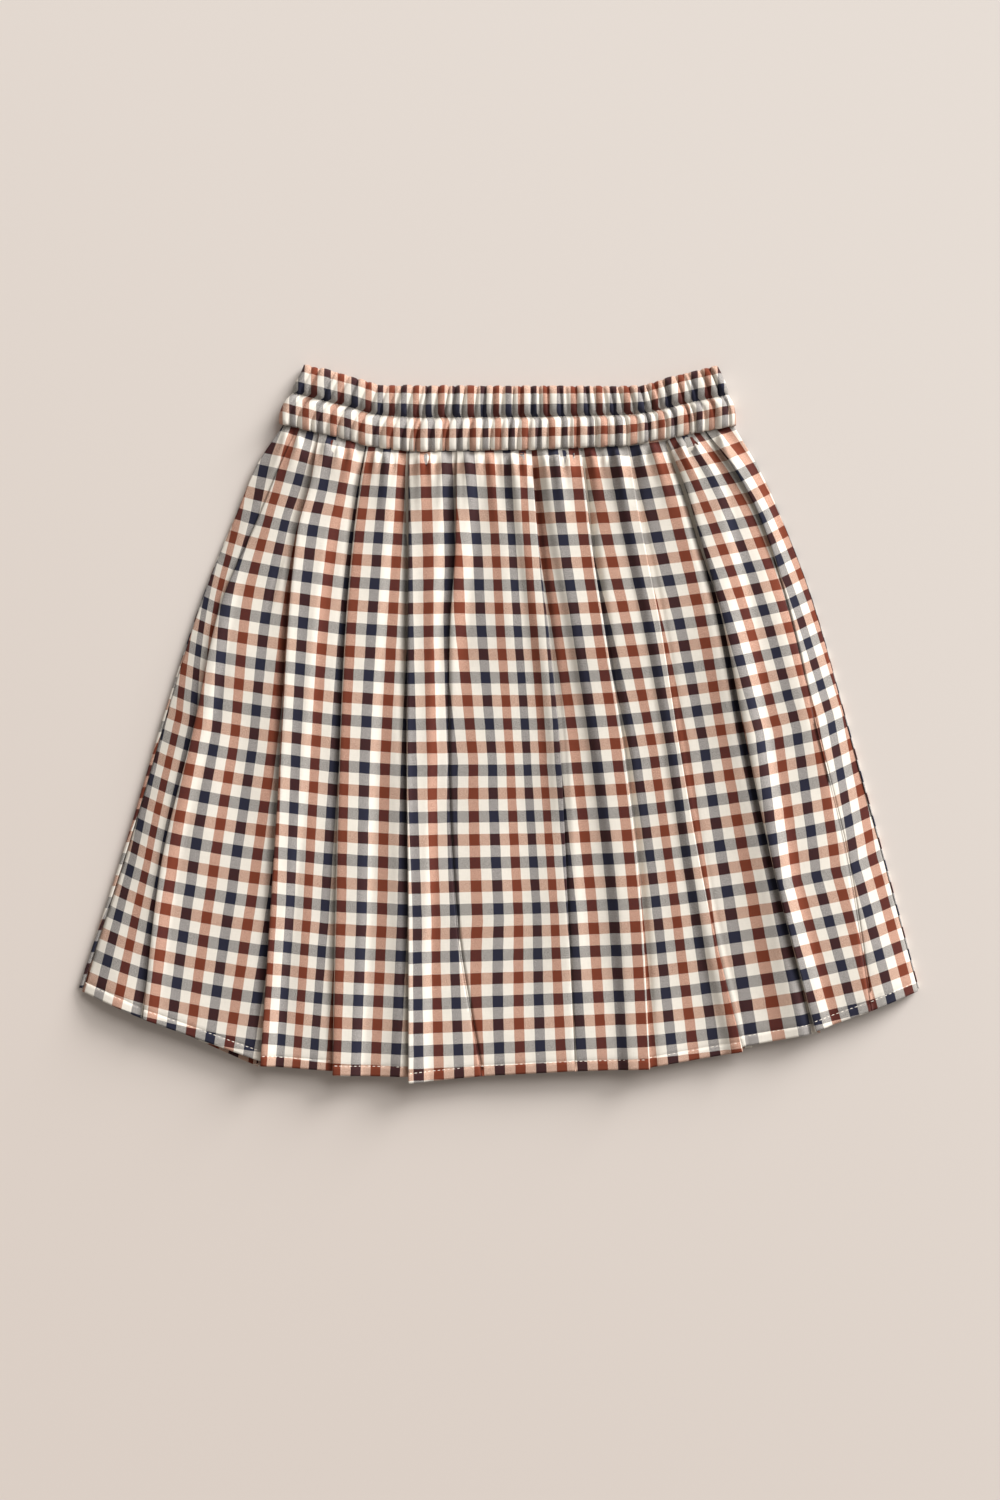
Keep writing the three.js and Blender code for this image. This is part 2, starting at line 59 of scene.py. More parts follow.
# Folds from left to right. x and hidden are given at the stations: where the fold's edge lies and
# how much cloth it hides. left and right are the places along the cut on the two sides of the edge,
# at the heights CLOTH_STATIONS. weft_left and weft_right say how much lower the cross stripes lie
# along the cut than on a straight hanging panel. lip is how far the outer layer's edge stands up,
# dip how far the cloth beside it sinks, and bank how far it rises again next to the dip, all
# three at 1, 0.5 and 0, as are the weft's.
CLOTH_STATIONS = (0.93, 0.5, 0.25, 0.0)
FOLD_COLUMNS = ("name", "over", "hem_left", "hem_right", "x", "hidden", "left", "right",
                "weft_left", "weft_right", "lip", "dip", "bank")
FRONT_FOLDS = (
    ("left side", "none", -190.5, -190.5, (-155, -173.5, -187, -211.5, -238, -268, -300.5),
     (0,) * 7, (0,) * 4, (-243, -296, -307, -312), (0, 0, 0), (-5.5, -4.8, -5),
     (0, 0, 0), (0, 0, 0), (0, 0, 0)),
    ("left trough", "right", -211, -211, (-145, -158, -172, -199, -217, -241.5, -254),
     (0, 0, 0, 3, 8, 5, 2), (-226, -264, -267, -261), (-226, -254.5, -260, -258.7),
     (-5.7, -4.3, -7), (-5.7, -4.3, -7), (0, 0.6, 0), (0.6, 1.2, 0.9), (0, 0, 0)),
    ("first fold", "right", -241, -244, (-129, -134, -143.5, -150.5, -155.5, -162.5, -170),
     (39, 39, 36, 31, 25.5, 14, 3), (-197, -185.6, -178.4, -168), (-158.5, -160, -164.4, -165),
     (-6.5, -4.8, -8.3), (-7, -3.6, -1.5), (0.8, 1.8, 1.6), (2.0, 2.4, 1.2), (0.6, 1.0, 0.6)),
    ("second fold", "right", -248, -251, (-94.5, -99.5, -104, -109.5, -113.5, -116.5, -118.5),
     (35, 41, 40, 39, 37, 31, 24.5), (-120, -114.5, -109.2, -100.7), (-79, -77.3, -78.2, -76.2),
     (-6, -1.2, 0.7), (-5.5, 0, 1.4), (0.2, 0.2, 0.4), (2.6, 1.8, 1.2), (0.8, 0.6, 0.4)),
    ("middle fold", "right", -252, -256.5, (-64.5, -64.5, -64.5, -65, -65.5, -64.5, -64.5),
     (40, 40, 36, 29, 25, 18, 12), (-37, -28.7, -25.1, -19.5), (2.5, -3.8, -7.1, -7.5),
     (-3.6, 0, 2.9), (-3.4, 0, 1.4), (0.5, 0.6, 0.8), (4.0, 3.2, 2.0), (1.0, 0.6, 0.6)),
    ("short fold", "right", -251.5, -251.5, (-30, -30.5, -31, -35, -36, -30, -12),
     (12, 12, 10, 3, 0, 0, 0), (35.4, 26.6, 31.4, 46.5), (48.4, 26.6, 31.4, 46.5),
     (-2.2, 0, 2.4), (-2.2, 0, 2.4), (1.2, 0, 0), (2.2, 0, 0), (0, 0, 0)),
    ("fading fold", "left", -248, -248, (23, 25, 28, 35.5, 44, 49, 54),
     (19, 18.5, 15, 9, 3, 0, 0), (114, 121, 115.5, 112.7), (131.3, 122.3, 115.5, 112.7),
     (-4.5, -0.5, 5.2), (-6, 0.5, 5.2), (0, 0, 0), (3.2, 2.4, 0), (0.9, 0.7, 0)),
    ("long fold", "left", -246.5, -245.5, (58, 61.5, 65.5, 75.5, 89.5, 101.5, 107.5),
     (45, 45, 42, 36, 31.5, 27, 23.5), (168, 168.3, 168, 167.5), (213.9, 198.5, 195, 190.8),
     (-7, 0, 4.4), (-8.2, 0.7, 4), (0, 0, 0), (3.8, 3.4, 1.6), (1.2, 1.4, 0.8)),
    ("soft fold", "left", -234, -230.5, (92, 96.5, 102.5, 115, 128.5, 148, 173.5),
     (12, 12, 10, 7, 4.5, 5.2, 5.2), (246.8, 243.5, 247.8, 256), (259.8, 248, 253, 261),
     (-9.2, 1, 5.2), (-10.2, 1.4, 5.2), (0, 0, 0.2), (1.6, 0.9, 0.5), (0.8, 0.6, 0.2)),
    ("deep fold", "right", -221, -219.5, (120.5, 132, 142, 159, 175.5, 198, 225.5),
     (38, 38, 33, 25, 16, 11, 7), (292.8, 299, 298.5, 302), (331.4, 315, 326, 323),
     (-9.6, 1.8, 5.2), (-9, 1, 4), (0.3, 0.5, 0.3), (5.0, 4.2, 1.8), (1.6, 1.8, 0.8)),
    ("right gather", "right", -205, -205, (149, 170, 187, 207, 226, 250, 266),
     (7, 8, 5, 0, 0, 0, 0), (380, 371.6, 381, 369.5), (387, 371.6, 381, 369.5),
     (-6, 5.2, 5), (-6, 5.2, 5), (0.3, 0, 0), (1.4, 0, 0), (0, 0, 0)),
    ("right side", "none", -191, -191, (169, 185.5, 200.5, 223.5, 246.5, 274, 300.5),
     (0,) * 7, (405.5, 399, 409, 408), (0,) * 4, (-3, 8.5, 8), (0, 0, 0),
     (0, 0, 0), (0, 0, 0), (0, 0, 0)),
)
# The back's folds lie flat and keep their cross stripes straight.
LEVEL = ((0, 0, 0),) * 5
BACK_FOLDS = (
    ("left side", "none", -189, -189, (-155, -173.5, -187, -211.5, -238, -268, -300.5),
     (0,) * 7, (0,) * 4, (-312, -328, -340, -352), *LEVEL),
    ("first back fold", "left", -246, -243, (-112, -118, -125, -135, -148, -160, -172),
     (26, 26, 25, 22, 18, 12, 8), (-229, -217, -217, -218), (-203, -199, -205, -210),
     *LEVEL),
    ("second back fold", "left", -250, -251, (-46, -48, -51, -56, -64, -74, -82),
     (30, 30, 28, 25, 22, 18, 14), (-97, -103, -107, -111), (-67, -81, -89, -97),
     *LEVEL),
    ("third back fold", "right", -248, -247, (40, 42, 45, 52, 60, 70, 80),
     (28, 28, 26, 23, 18, 14, 10), (70, 75, 79, 83), (98, 93, 93, 93),
     *LEVEL),
    ("fourth back fold", "right", -232, -231, (108, 114, 121, 133, 148, 164, 178),
     (24, 24, 23, 20, 15, 10, 7), (208, 206.5, 203, 198.5), (232, 221.5, 213, 205.5),
     *LEVEL),
    ("right side", "none", -189.5, -189.5, (169, 185.5, 200.5, 223.5, 246.5, 274, 300.5),
     (0,) * 7, (352, 348, 348, 348), (0,) * 4, *LEVEL),
)

WAIST_SEAM = ((-156.5, 213), (-129, 205.5), (-94.5, 198), (-64.5, 194.5), (23, 195), (92, 198),
              (120.5, 201.5), (169, 211))
# How much higher the band's lower edge lies than the waist seam, by the place across.
BAND_LOWER_EDGE = ((-150, 2.9), (-114, 3.5), (-101, 2.3), (-90, 1.4), (-54, 1.1), (0, 1.7),
                   (90, 1.8), (110, 3.2), (161, 3.4))
BAND_TOP_EDGE = ((-139.5, 256), (-116, 250.5), (-99, 245.5), (-85, 241), (101, 240.5),
                 (129, 249), (156.5, 255))

# Small gathers under the waist seam: x at the seam, lean to the right per millimetre down, height,
# half width and length.
GATHER_COLUMNS = ("x", "lean", "height", "width", "length")
FRONT_GATHERS = (
    (-150, -0.35, 1.2, 2.6, 44), (-141, -0.3, 0.9, 2.2, 30), (-121, -0.25, 1.1, 2.4, 38),
    (-113, -0.2, 0.8, 2.0, 24), (-104, -0.16, 1.1, 2.2, 34), (-87, -0.1, 0.9, 2.0, 30),
    (-80, -0.06, 1.2, 2.4, 46), (-72, -0.03, 0.8, 1.8, 22), (-56, 0, 1.3, 2.4, 52),
    (-49, 0.02, 0.9, 2.0, 28), (-40, -0.02, 1.2, 2.2, 40), (-23, 0.05, 1.2, 2.2, 48),
    (-15, 0.08, 0.9, 1.9, 30), (-7, 0.1, 1.2, 2.3, 56), (2, 0.1, 0.8, 1.9, 26),
    (9, 0.12, 1.2, 2.2, 44), (17, 0.12, 0.9, 1.8, 24), (32, 0.12, 1.1, 2.1, 36),
    (40, 0.12, 1.3, 2.4, 54), (49, 0.13, 0.9, 2.0, 28), (66, 0.16, 1.1, 2.2, 42),
    (75, 0.18, 0.8, 1.8, 24), (83, 0.2, 1.2, 2.3, 46), (100, 0.24, 0.9, 2.0, 30),
    (109, 0.3, 1.2, 2.3, 48), (128, 0.4, 1.1, 2.2, 40), (138, 0.45, 0.9, 2.0, 28),
    (156, 0.5, 1.1, 2.2, 40),
)
BACK_GATHERS = (
    (-142, -0.3, 1.0, 2.6, 40), (-128, -0.26, 0.8, 2.4, 28), (-98, -0.2, 1.0, 2.6, 42),
    (-84, -0.15, 0.8, 2.4, 30), (-66, -0.1, 1.0, 2.6, 46), (-30, -0.02, 0.9, 2.5, 34),
    (-14, 0, 1.0, 2.6, 44), (4, 0.03, 0.8, 2.4, 28), (22, 0.06, 1.0, 2.6, 40),
    (58, 0.12, 0.9, 2.5, 36), (76, 0.18, 1.0, 2.6, 46), (94, 0.22, 0.8, 2.4, 28),
    (126, 0.35, 1.0, 2.6, 40), (144, 0.4, 0.8, 2.4, 30),
)

# Soft creases of the front, each a ridge (height above 0) or a trough (below 0) along a bowed line
# from its upper end to its lower end, with its own width on each side.
CREASE_COLUMNS = ("x0", "y0", "x1", "y1", "bow", "left", "right", "height", "fade")
FRONT_CREASES = (
    (23, 197, 24, 170, 0, 1.3, 1.3, -2.2, 0.3),
    (-133, 196, -168, 70, 0, 2.2, 2.2, -1.5, 0.3),
    (-176, 120, -226, -120, 3, 9, 12, 1.3, 0.4),
    (-192, 60, -280, -190, 2, 10, 12, -1.0, 0.4),
    (-128, 110, -142, -240, 0, 8, 9, 1.0, 0.35),
    (-88, 150, -92, -245, 0, 7, 8, -0.8, 0.4),
    (-52, 185, -46, -60, 2, 6, 8, 1.0, 0.4),
    (-18, 180, -30, 20, 0, 7, 9, -1.1, 0.4),
    (0, 188, 8, 40, 0, 7, 7, 1.2, 0.4),
    (38, 100, 66, -200, 4, 6, 16, -1.8, 0.35),
    (14, 20, 22, -240, 0, 14, 14, -0.8, 0.4),
    (84, 150, 140, -230, 4, 9, 10, 1.0, 0.4),
    (150, 150, 222, -250, 5, 15, 4, 4.0, 0.3),
    (-66, 40, -66, -290, 0, 9, 2.5, 3.0, 0.3),
    (168, 150, 236, -60, 6, 9, 12, 1.2, 0.4),
    (206, 90, 286, -190, 4, 10, 12, -1.0, 0.4),
)

# The waistband's face from the waist seam up: share of its height, how proud it stands, share of
# the ripples' height, and its ends.
BAND_COLUMNS = ("up", "proud", "ripple", "left", "right")
BAND_ROWS = (
    (0.0, 1.4, 0.4, -156.5, 169), (0.02, 3.1, 0.7, -157, 169.3), (0.05, 4.3, 0.9, -157.2, 169.4),
    (0.12, 5.2, 1, -157, 169.3), (0.26, 5.6, 1, -155, 168.5), (0.38, 4.9, 1, -152.5, 167),
    (0.46, 3.2, 0.8, -149, 164.8), (0.5, 1.9, 0.5, -147.5, 164), (0.54, 3.2, 0.8, -147.3, 163.8),
    (0.62, 4.5, 1, -147, 163.4), (0.77, 4.9, 1, -144, 161), (0.9, 4.4, 1, -141, 158.6),
    (0.97, 3.0, 0.9, -139.8, 157), (1.0, 1.2, 0.6, -139.5, 156.5),
)
# Places along the band of the rust warp stripes in its lower and upper channel, from the left.
BAND_RUST_LOWER = (-138, -118, -97.9, -77.9, -58.6, -37.9, -18.6, -0.7, 18.6, 37.9, 55.7, 75,
                   96.4, 116, 134, 152)
BAND_RUST_UPPER = (-131.8, -112.9, -92.9, -76.4, -59.3, -41.4, -20, -2.1, 15.7, 33.6, 53.6, 71.4,
                   91.4, 111.4, 130, 149)
# Cross stripes of the band: share of its height and place along the cut.
BAND_WEFT = ((0, 56.4), (0.174, 48), (0.318, 39.6), (0.5, 31.3), (0.712, 22.9), (0.879, 14.5),
             (1, 8))
# Rows up the band, close together where it turns.
BAND_STEPS = (0, 0.02, 0.045, 0.08, 0.13, 0.19, 0.26, 0.33, 0.39, 0.43, 0.46, 0.48, 0.5, 0.52, 0.54,
              0.57, 0.61, 0.67, 0.74, 0.81, 0.87, 0.92, 0.95, 0.975, 0.99, 1.0)
BAND_MIDDLE_STEP = 12
BAND_RIPPLES = 46
BAND_INSIDE = 5.35  # level of the plane where the band's two halves meet
BAND_GAP = 0.3  # from that plane to either half's outer face at its edges

WARP_REPEAT = 29.64  # width of four warp stripes
WEFT_REPEAT = 33.5  # height of four weft stripes

SKIRT_LENGTH = 446.0
HEM_STITCH_UP = 7.0  # from the hem's edge up to its stitches
# Rows close together over the turned hem, as shares of the skirt's length.
HEM_ROWS = (0, 0.0035, 0.0075, 0.0115, 0.0138, 0.0155, 0.017, 0.0185, 0.0205, 0.026)
BODY_ROWS = (0.034, 0.9, 102)
WAIST_ROWS = (0.906, 1.011, 21)

FLOOR_GAP = 0.3  # level of the lowest cloth's middle
HEM_LEVEL = 12.2  # level of the front towards the hem
WAIST_DROP = 3.4  # how much lower the front lies towards the waist
SHORTS_RISE = 1.4  # how much higher it lies over the shorts
SIDE_RADIUS = 2.3  # of the turn at the skirt's sides
LAYER = 0.9  # half of a deep fold's height
CLOTH_FULL_FOLD = 2.5  # depth from which a fold's layers lie flat on each other
SHALLOW_SPREAD = 0.8  # how far the hidden cloth of a fold that fades out is spread
LIP = 1.3  # height of a fold's outer edge
DIP = 1.7  # depth of the cloth beside it
GATHER = 2.6  # height of the small gathers

# The shorts: the middle line, the height of the waist and the leg hems, and the crotch curve.
SHORTS_MIDDLE = 7.0
SHORTS_TOP, SHORTS_HEM = 207, -104.5
CROTCH_TOP, CROTCH = 22, -24

# Slow waves of cloth that lies on soft layers: across, down, phase and share of the height.
DRAPE_WAVES = (
    (0.046, 0.009, 0.4, 0.5), (0.081, -0.013, 1.9, 0.34), (0.129, 0.021, 4.1, 0.2),
    (0.017, 0.061, 2.6, 0.3), (-0.033, 0.088, 5.2, 0.16), (0.21, 0.03, 0.8, 0.1),
)

# Colour of a crossing against the plain mix of its two yarns: warp, weft and tint.
CROSSING_TINTS = (
    ("navy", "cream", (0.76, 0.755, 0.785)),
    ("cream", "navy", (0.81, 0.81, 0.82)),
    ("rust", "cream", (1.03, 0.74, 0.63)),
    ("cream", "rust", (1.08, 0.87, 0.76)),
    ("navy", "rust", (0.45, 0.49, 0.55)),
    ("rust", "navy", (0.94, 0.74, 0.58)),
)
# Level at which the cloth enters the waistband, and how far below the band it has risen from there,
# between the gathers and on them.
TUCK_LEVEL = 7.4
TUCK_RUN = (22.0, 8.0)


def named_rows(columns, rows):
    """Rows of a table, each with its values under the columns' names."""
    return [dict(zip(columns, row)) for row in rows]


# ---------------------------------------------------------------- numbers

def smooth(t):
    """From 0 to 1 with level ends."""
    t = np.clip(t, 0.0, 1.0)
    return t * t * (3.0 - 2.0 * t)


def lerp(a, b, t):
    return a + (b - a) * t


def vary(index, seed):
    """A fixed uneven value from 0 to 1 for each index."""
    wave = math.sin(index * 12.9898 + seed * 78.233) * 43758.5453
    return wave - math.floor(wave)


def at_station(values, v):
    """A value between the stations, without overshoot."""
    last = len(STATIONS) - 1
    rates = [(values[i + 1] - values[i]) / (STATIONS[i + 1] - STATIONS[i]) for i in range(last)]
    slopes = [rates[0]] + [0.0] * (last - 1) + [rates[-1]]
    for i in range(1, last):
        if rates[i - 1] * rates[i] > 0:
            slopes[i] = 2 * rates[i - 1] * rates[i] / (rates[i - 1] + rates[i])
    i = 0
    while i < last - 1 and v < STATIONS[i + 1]:
        i += 1
    span = STATIONS[i + 1] - STATIONS[i]
    t = (v - STATIONS[i]) / span
    start = values[i] * (1 + 2 * t) + slopes[i] * span * t
    end = values[i + 1] * (3 - 2 * t) - slopes[i + 1] * span * (1 - t)
    return start * (1 - t) ** 2 + end * t ** 2


def between(values, places, v):
    """A value read between places that fall from the waist to the hem."""
    return float(np.interp(-v, [-p for p in places], values))


def along_line(line, x):
    """Height of a line of points at x."""
    return np.interp(x, [p[0] for p in line], [p[1] for p in line])


# ---------------------------------------------------------------- the form of a skirt panel

def fold_at(row, v):
    """One fold at the height v: where its layers lie and how high they stand."""
    x = at_station(row["x"], v)
    hidden = max(0.0, at_station(row["hidden"], v)) if row["over"] != "none" else 0.0
    depth = hidden / 2
    turn = math.pi * min(1.0, depth / CLOTH_FULL_FOLD)
    height = 0.0
    if depth > 0.01:
        half_open = 2 * LAYER / math.tan(turn / 2) if turn < math.pi else 0.0
        flat = min(depth / 2, half_open) if depth < CLOTH_FULL_FOLD else 0.0
        height = 2 * LAYER * (1 - math.cos(turn)) + flat * math.sin(turn)
    over_right = row["over"] == "right"
    return {
        "x": x, "depth": depth, "height": height, "over": row["over"],
        "low": x if over_right else x - depth, "high": x + depth if over_right else x,
        "left": along_cloth(row["left"], v), "right": along_cloth(row["right"], v),
        "hem_left": row["hem_left"], "hem_right": row["hem_right"],
        "x_top": row["x"][0], "x_hem": row["x"][-1],
        **{key: between(row[key], (1, 0.5, 0), v)
           for key in ("weft_left", "weft_right", "lip", "dip", "bank")},
    }


def along_cloth(places, v):
    """A place along the cut: straight lines between CLOTH_STATIONS, and on to the waist seam."""
    if v > CLOTH_STATIONS[0]:
        slope = (places[0] - places[1]) / (CLOTH_STATIONS[0] - CLOTH_STATIONS[1])
        return places[0] + slope * (v - CLOTH_STATIONS[0])
    return between(places, CLOTH_STATIONS, v)


def side_wrap(v, side):
    """The back wraps round the skirt's side: how far it turns, and the seam's inset and level."""
    turned = 80 if side < 0 else 48  # degrees at the hem
    angle = math.radians(lerp(turned, 5, float(smooth((v - 0.35) / 0.5))))
    more = 0.5 if side < 0 else 0.1
    inset = SIDE_RADIUS * (1 - math.cos(angle)) + more * float(smooth((0.75 - v) / 0.5))
    return angle, inset, SIDE_RADIUS * (1 + math.sin(angle))


def side_lift(y):
    """How much higher the side seams lie towards the waist."""
    return 3.0 * smooth((y - 120) / 80)


def front_base(x, y, left, right, v):
    """Level of the front before its folds: low at the sides, high over the shorts."""
    inward = np.minimum(x - left, right - x)
    levels = [side_wrap(v, side)[2] for side in (-1, 1)]
    seam = np.where(x - left < right - x, *levels) + FLOOR_GAP + side_lift(y)
    outside = np.abs(x - SHORTS_MIDDLE) - shorts_reach(y) - 2
    over_shorts = smooth(1 - outside / 40) * smooth((y + 105) / 70 + 1.2)
    body = HEM_LEVEL - WAIST_DROP * smooth((y - 50) / 130) + SHORTS_RISE * over_shorts
    return lerp(seam, body, np.sqrt(np.clip(smooth(inward / 26), 0, 1)))


def back_base(x, y, left, right, v):
    """The back rests on the floor."""
    return np.full_like(np.asarray(x, float), FLOOR_GAP)


def shorts_reach(y):
    """From the shorts' middle line to the outer edge of a leg."""
    return lerp(145, 212, (SHORTS_TOP - y) / 312)


def crease_height(creases, x, y):
    """Height of all soft creases together."""
    total = np.zeros_like(x)
    for c in creases:
        t = (y - c["y0"]) / (c["y1"] - c["y0"])
        inside = (t > 0) & (t < 1)
        t = np.clip(t, 0, 1)
        centre = lerp(c["x0"], c["x1"], t) + c["bow"] * 4 * t * (1 - t)
        d = x - centre
        width = np.where(d < 0, c["left"], c["right"])
        taper = smooth(t / c["fade"]) * smooth((1 - t) / (c["fade"] * 0.5))
        total += np.where(inside, c["height"] * taper * np.exp(-(d / width) ** 2), 0)
    return total


def gather_height(gathers, x, y, seam_x):
    """Height of the small gathers, which fade and widen downwards."""
    down = along_line(WAIST_SEAM, seam_x) - y
    total = np.zeros_like(x)
    for g in gathers:
        centre = g["x"] + g["lean"] * down
        fade = smooth(1 - down / (1.3 * g["length"])) * smooth((down + 1) / 4)
        width = g["width"] * (1.1 + 0.012 * down)
        total += GATHER * g["height"] * fade * np.exp(-((x - centre) / width) ** 2)
    return total


def drape(x, y, size):
    """Slow unevenness of cloth that lies on soft layers."""
    return size * sum(a * np.sin(kx * x + ky * y + phase) for kx, ky, phase, a in DRAPE_WAVES)


def hem_detail(v, length, x):
    """The turned hem stands a little proud and is drawn in along its stitches."""
    up = v * length
    turn = 0.35 * smooth((7.6 - up) / 1.2)
    stitched = -0.5 * np.exp(-((up - 7.3) / 0.9) ** 2)
    pucker = 0.22 * np.exp(-((up - 7) / 5) ** 2) * np.sin(x * 0.93 + 1.7 * np.sin(x * 0.11))
    return turn + stitched + pucker


def panel_row(panel, v):
    """One row across a panel: places, heights, cloth coordinates, and which points show."""
    folds = [fold_at(row, v) for row in panel["folds"]]
    up = panel["faces_up"]
    left, right = folds[0]["x"], folds[-1]["x"]
    edge_left, edge_right = [side_wrap(v, side)[1] if up else 0.0 for side in (-1, 1)]

    def stack(x, skip):
        """Height that the folds' outer layers add, but for one fold."""
        total = np.zeros_like(x)
        for i, fold in enumerate(folds):
            rises = (fold["over"] == "right") == up
            if fold["height"] > 0 and i != skip:
                total += np.where(rises == (x > fold["x"]), over_height(fold, x, rises), 0)
        return total

    def over_height(fold, x, rises):
        """An outer layer's height, which sinks again where the fold's cloth ends."""
        if rises:
            return fold["height"] * (1 - smooth((x - fold["high"] - 2) / 8))
        return fold["height"] * smooth((x - fold["low"] + 10) / 8)

    xs, us, ys, downs, zs, shows = [], [], [], [], [], []

    def level(x, y, seam_x):
        """Level of the cloth without its folds."""
        z = panel["base"](x, y, left + edge_left, right - edge_right, v)
        z = z + crease_height(panel["creases"], x, y)
        z = z + gather_height(panel["gathers"], x, y, seam_x)
        return z + drape(x, y, panel["drape"])

    def add(x, u, weft, hem, seam_x, x_top, x_hem, extra, visible):
        """Adds a run of points from left to right."""
        x = np.asarray(x, float)
        seam_y = along_line(WAIST_SEAM, seam_x) - 0.3
        y = lerp(hem, seam_y, v)
        length = np.hypot(seam_y - hem, x_top - x_hem)
        z = level(x, y, seam_x) + extra(x)
        if up:
            z = z + hem_detail(v, length, x)
            puff = np.clip(gather_height(panel["gathers"], x, seam_y - 6, seam_x) / 2.2, 0, 1)
            below = seam_y + along_line(BAND_LOWER_EDGE, seam_x) - 1.2 - y
            z = lerp(z, TUCK_LEVEL + 0.2 * (z - 10), smooth(1 - below / lerp(*TUCK_RUN, puff)))
        else:
            z = np.maximum(z - hem_detail(v, length, x), FLOOR_GAP)
        xs.append(x)
        us.append(np.asarray(u, float))
        ys.append(y)
        downs.append((1 - v) * length + weft)
        zs.append(z)
        shows.append(np.full(x.shape, visible))

    for i in range(len(folds) - 1):
        a, b = folds[i], folds[i + 1]
        start = a["x"] + (edge_left if i == 0 else 0)
        end = b["x"] - (edge_right if i == len(folds) - 2 else 0)
        count = panel["columns"][i]
        share = np.linspace(0, 1, count + 1)
        inner_a = outer_radius(a) if a["over"] == "right" else 0
        inner_b = outer_radius(b) if b["over"] == "left" else 0
        x = lerp(start + inner_a, end - inner_b, share)
        if b["over"] == "left":
            x = np.insert(x, -1, max(x[-1] - 0.3, 0.5 * (x[-1] + x[-2])))
        place = (x - a["x"]) / (b["x"] - a["x"])
        u = lerp(a["right"], b["left"], place)
        if panel["bows"][i]:
            u = u + panel["bows"][i] * 4 * place * (1 - place) * float(smooth(v / 0.3))

        def extra(q, a=a, b=b):
            """Height over the plain level, beside and between two folds."""
            total = stack(q, -1)
            total += side_shape(a, q, "right", up) + side_shape(b, q, "left", up)
            return total

        add(x, u, lerp(a["weft_right"], b["weft_left"], place),
            lerp(a["hem_right"], b["hem_left"], place), lerp(a["x_top"], b["x_top"], place),
            lerp(a["x_top"], b["x_top"], place), lerp(a["x_hem"], b["x_hem"], place), extra, True)
        if i < len(folds) - 2:
            hidden_part(folds, i + 1, add, stack, up)
    return {
        "x": np.concatenate(xs), "y": np.concatenate(ys), "z": np.concatenate(zs),
        "u": np.concatenate(us), "v": np.concatenate(downs), "shows": np.concatenate(shows),
    }


def outer_radius(fold):
    """Radius of the turn at a fold's outer edge."""
    return (0.9 if fold["over"] == "right" else 0.4) * min(1.0, fold["depth"] / CLOTH_FULL_FOLD)


def cover_shape(fold, d):
    """Lip of a fold's outer layer, d from its edge."""
    return LIP * fold["lip"] * np.exp(-(d / 6.5) ** 2)


def beside_shape(fold, d):
    """Dip of the cloth beside a fold's edge, and the bank after it."""
    width = 3.6 if fold["over"] == "right" else 3.0
    bank = smooth((d - 1.5) / 5.5) * smooth(1 - (d - 7) / 30)
    return -DIP * fold["dip"] * np.exp(-(d / width) ** 2) + fold["bank"] * bank


def side_shape(fold, x, side, up):
    """Lip of a fold's outer layer, or the dip of the cloth beside it."""
    if not up or fold["over"] == "none":
        return np.zeros_like(x)
    d = np.abs(x - fold["x"])
    return cover_shape(fold, d) if fold["over"] == side else beside_shape(fold, d)


def hidden_part(folds, index, add, stack, up):
    """The cloth inside a fold: under layer, inner turn, middle layer and outer turn."""
    fold = folds[index]
    full = min(1.0, fold["depth"] / CLOTH_FULL_FOLD)
    right_over = fold["over"] == "right"
    sign = 1 if right_over else -1
    edge, depth = fold["x"], fold["depth"]
    radius = outer_radius(fold)
    # Places from the edge inwards, and the share of the rise from the covered to the outer layer.
    reach = max(depth - 0.6, 0.0)
    under = [(0.35 * reach, 0.0), (0.8 * reach, 0.0)]
    inner = [(reach, 0.03), (reach + 0.55 * full, 0.25), (reach, 0.47)]
    middle = [(0.6 * reach, 0.5), (max(radius, 0.2 * reach), 0.5)]
    outer = [(radius * 0.45, 0.53), (0.0, 0.68), (radius * 0.05, 0.82), (radius * 0.4, 0.95)]
    path = under + inner + middle + outer
    if not right_over:
        path = path[::-1]
    inwards, raised = np.array(path).T
    share = np.arange(1, len(path) + 1) / (len(path) + 1)
    x = edge + sign * inwards + (share - 0.5) * SHALLOW_SPREAD * (1 - full)
    steps = np.abs(np.diff(inwards, prepend=0, append=0)) + 0.8
    travelled = np.cumsum(steps)[:-1] / np.sum(steps)
    u = lerp(fold["left"], fold["right"], travelled)

    def extra(q):
        """Height over the plain level, from the covered layer to the outer one."""
        around = stack(q, index)
        d = np.abs(q - edge)
        if up:
            outer_level = fold["height"] + cover_shape(fold, d)
            return around + lerp(beside_shape(fold, d), outer_level, raised)
        return around + lerp(fold["height"], 0.0, raised)

    add(x, u, lerp(fold["weft_left"], fold["weft_right"], travelled),
        lerp(fold["hem_left"], fold["hem_right"], share), fold["x_top"] + x - edge,
        fold["x_top"], fold["x_hem"], extra, False)


def panel_rows():
    """Rows from the hem up: close at the hem's stitches, and on past the waist into the band."""
    return [*HEM_ROWS, *np.linspace(*BODY_ROWS), *np.linspace(*WAIST_ROWS)]


def smooth_piece(name, vertices, faces):
    """A smooth-shaded mesh as a new object of the scene."""
    mesh = bpy.data.meshes.new(name)
    mesh.from_pydata(vertices, [], faces)
    mesh.polygons.foreach_set("use_smooth", [True] * len(faces))
    mesh.update()
    piece = bpy.data.objects.new(name, mesh)
    bpy.context.scene.collection.objects.link(piece)
    return piece


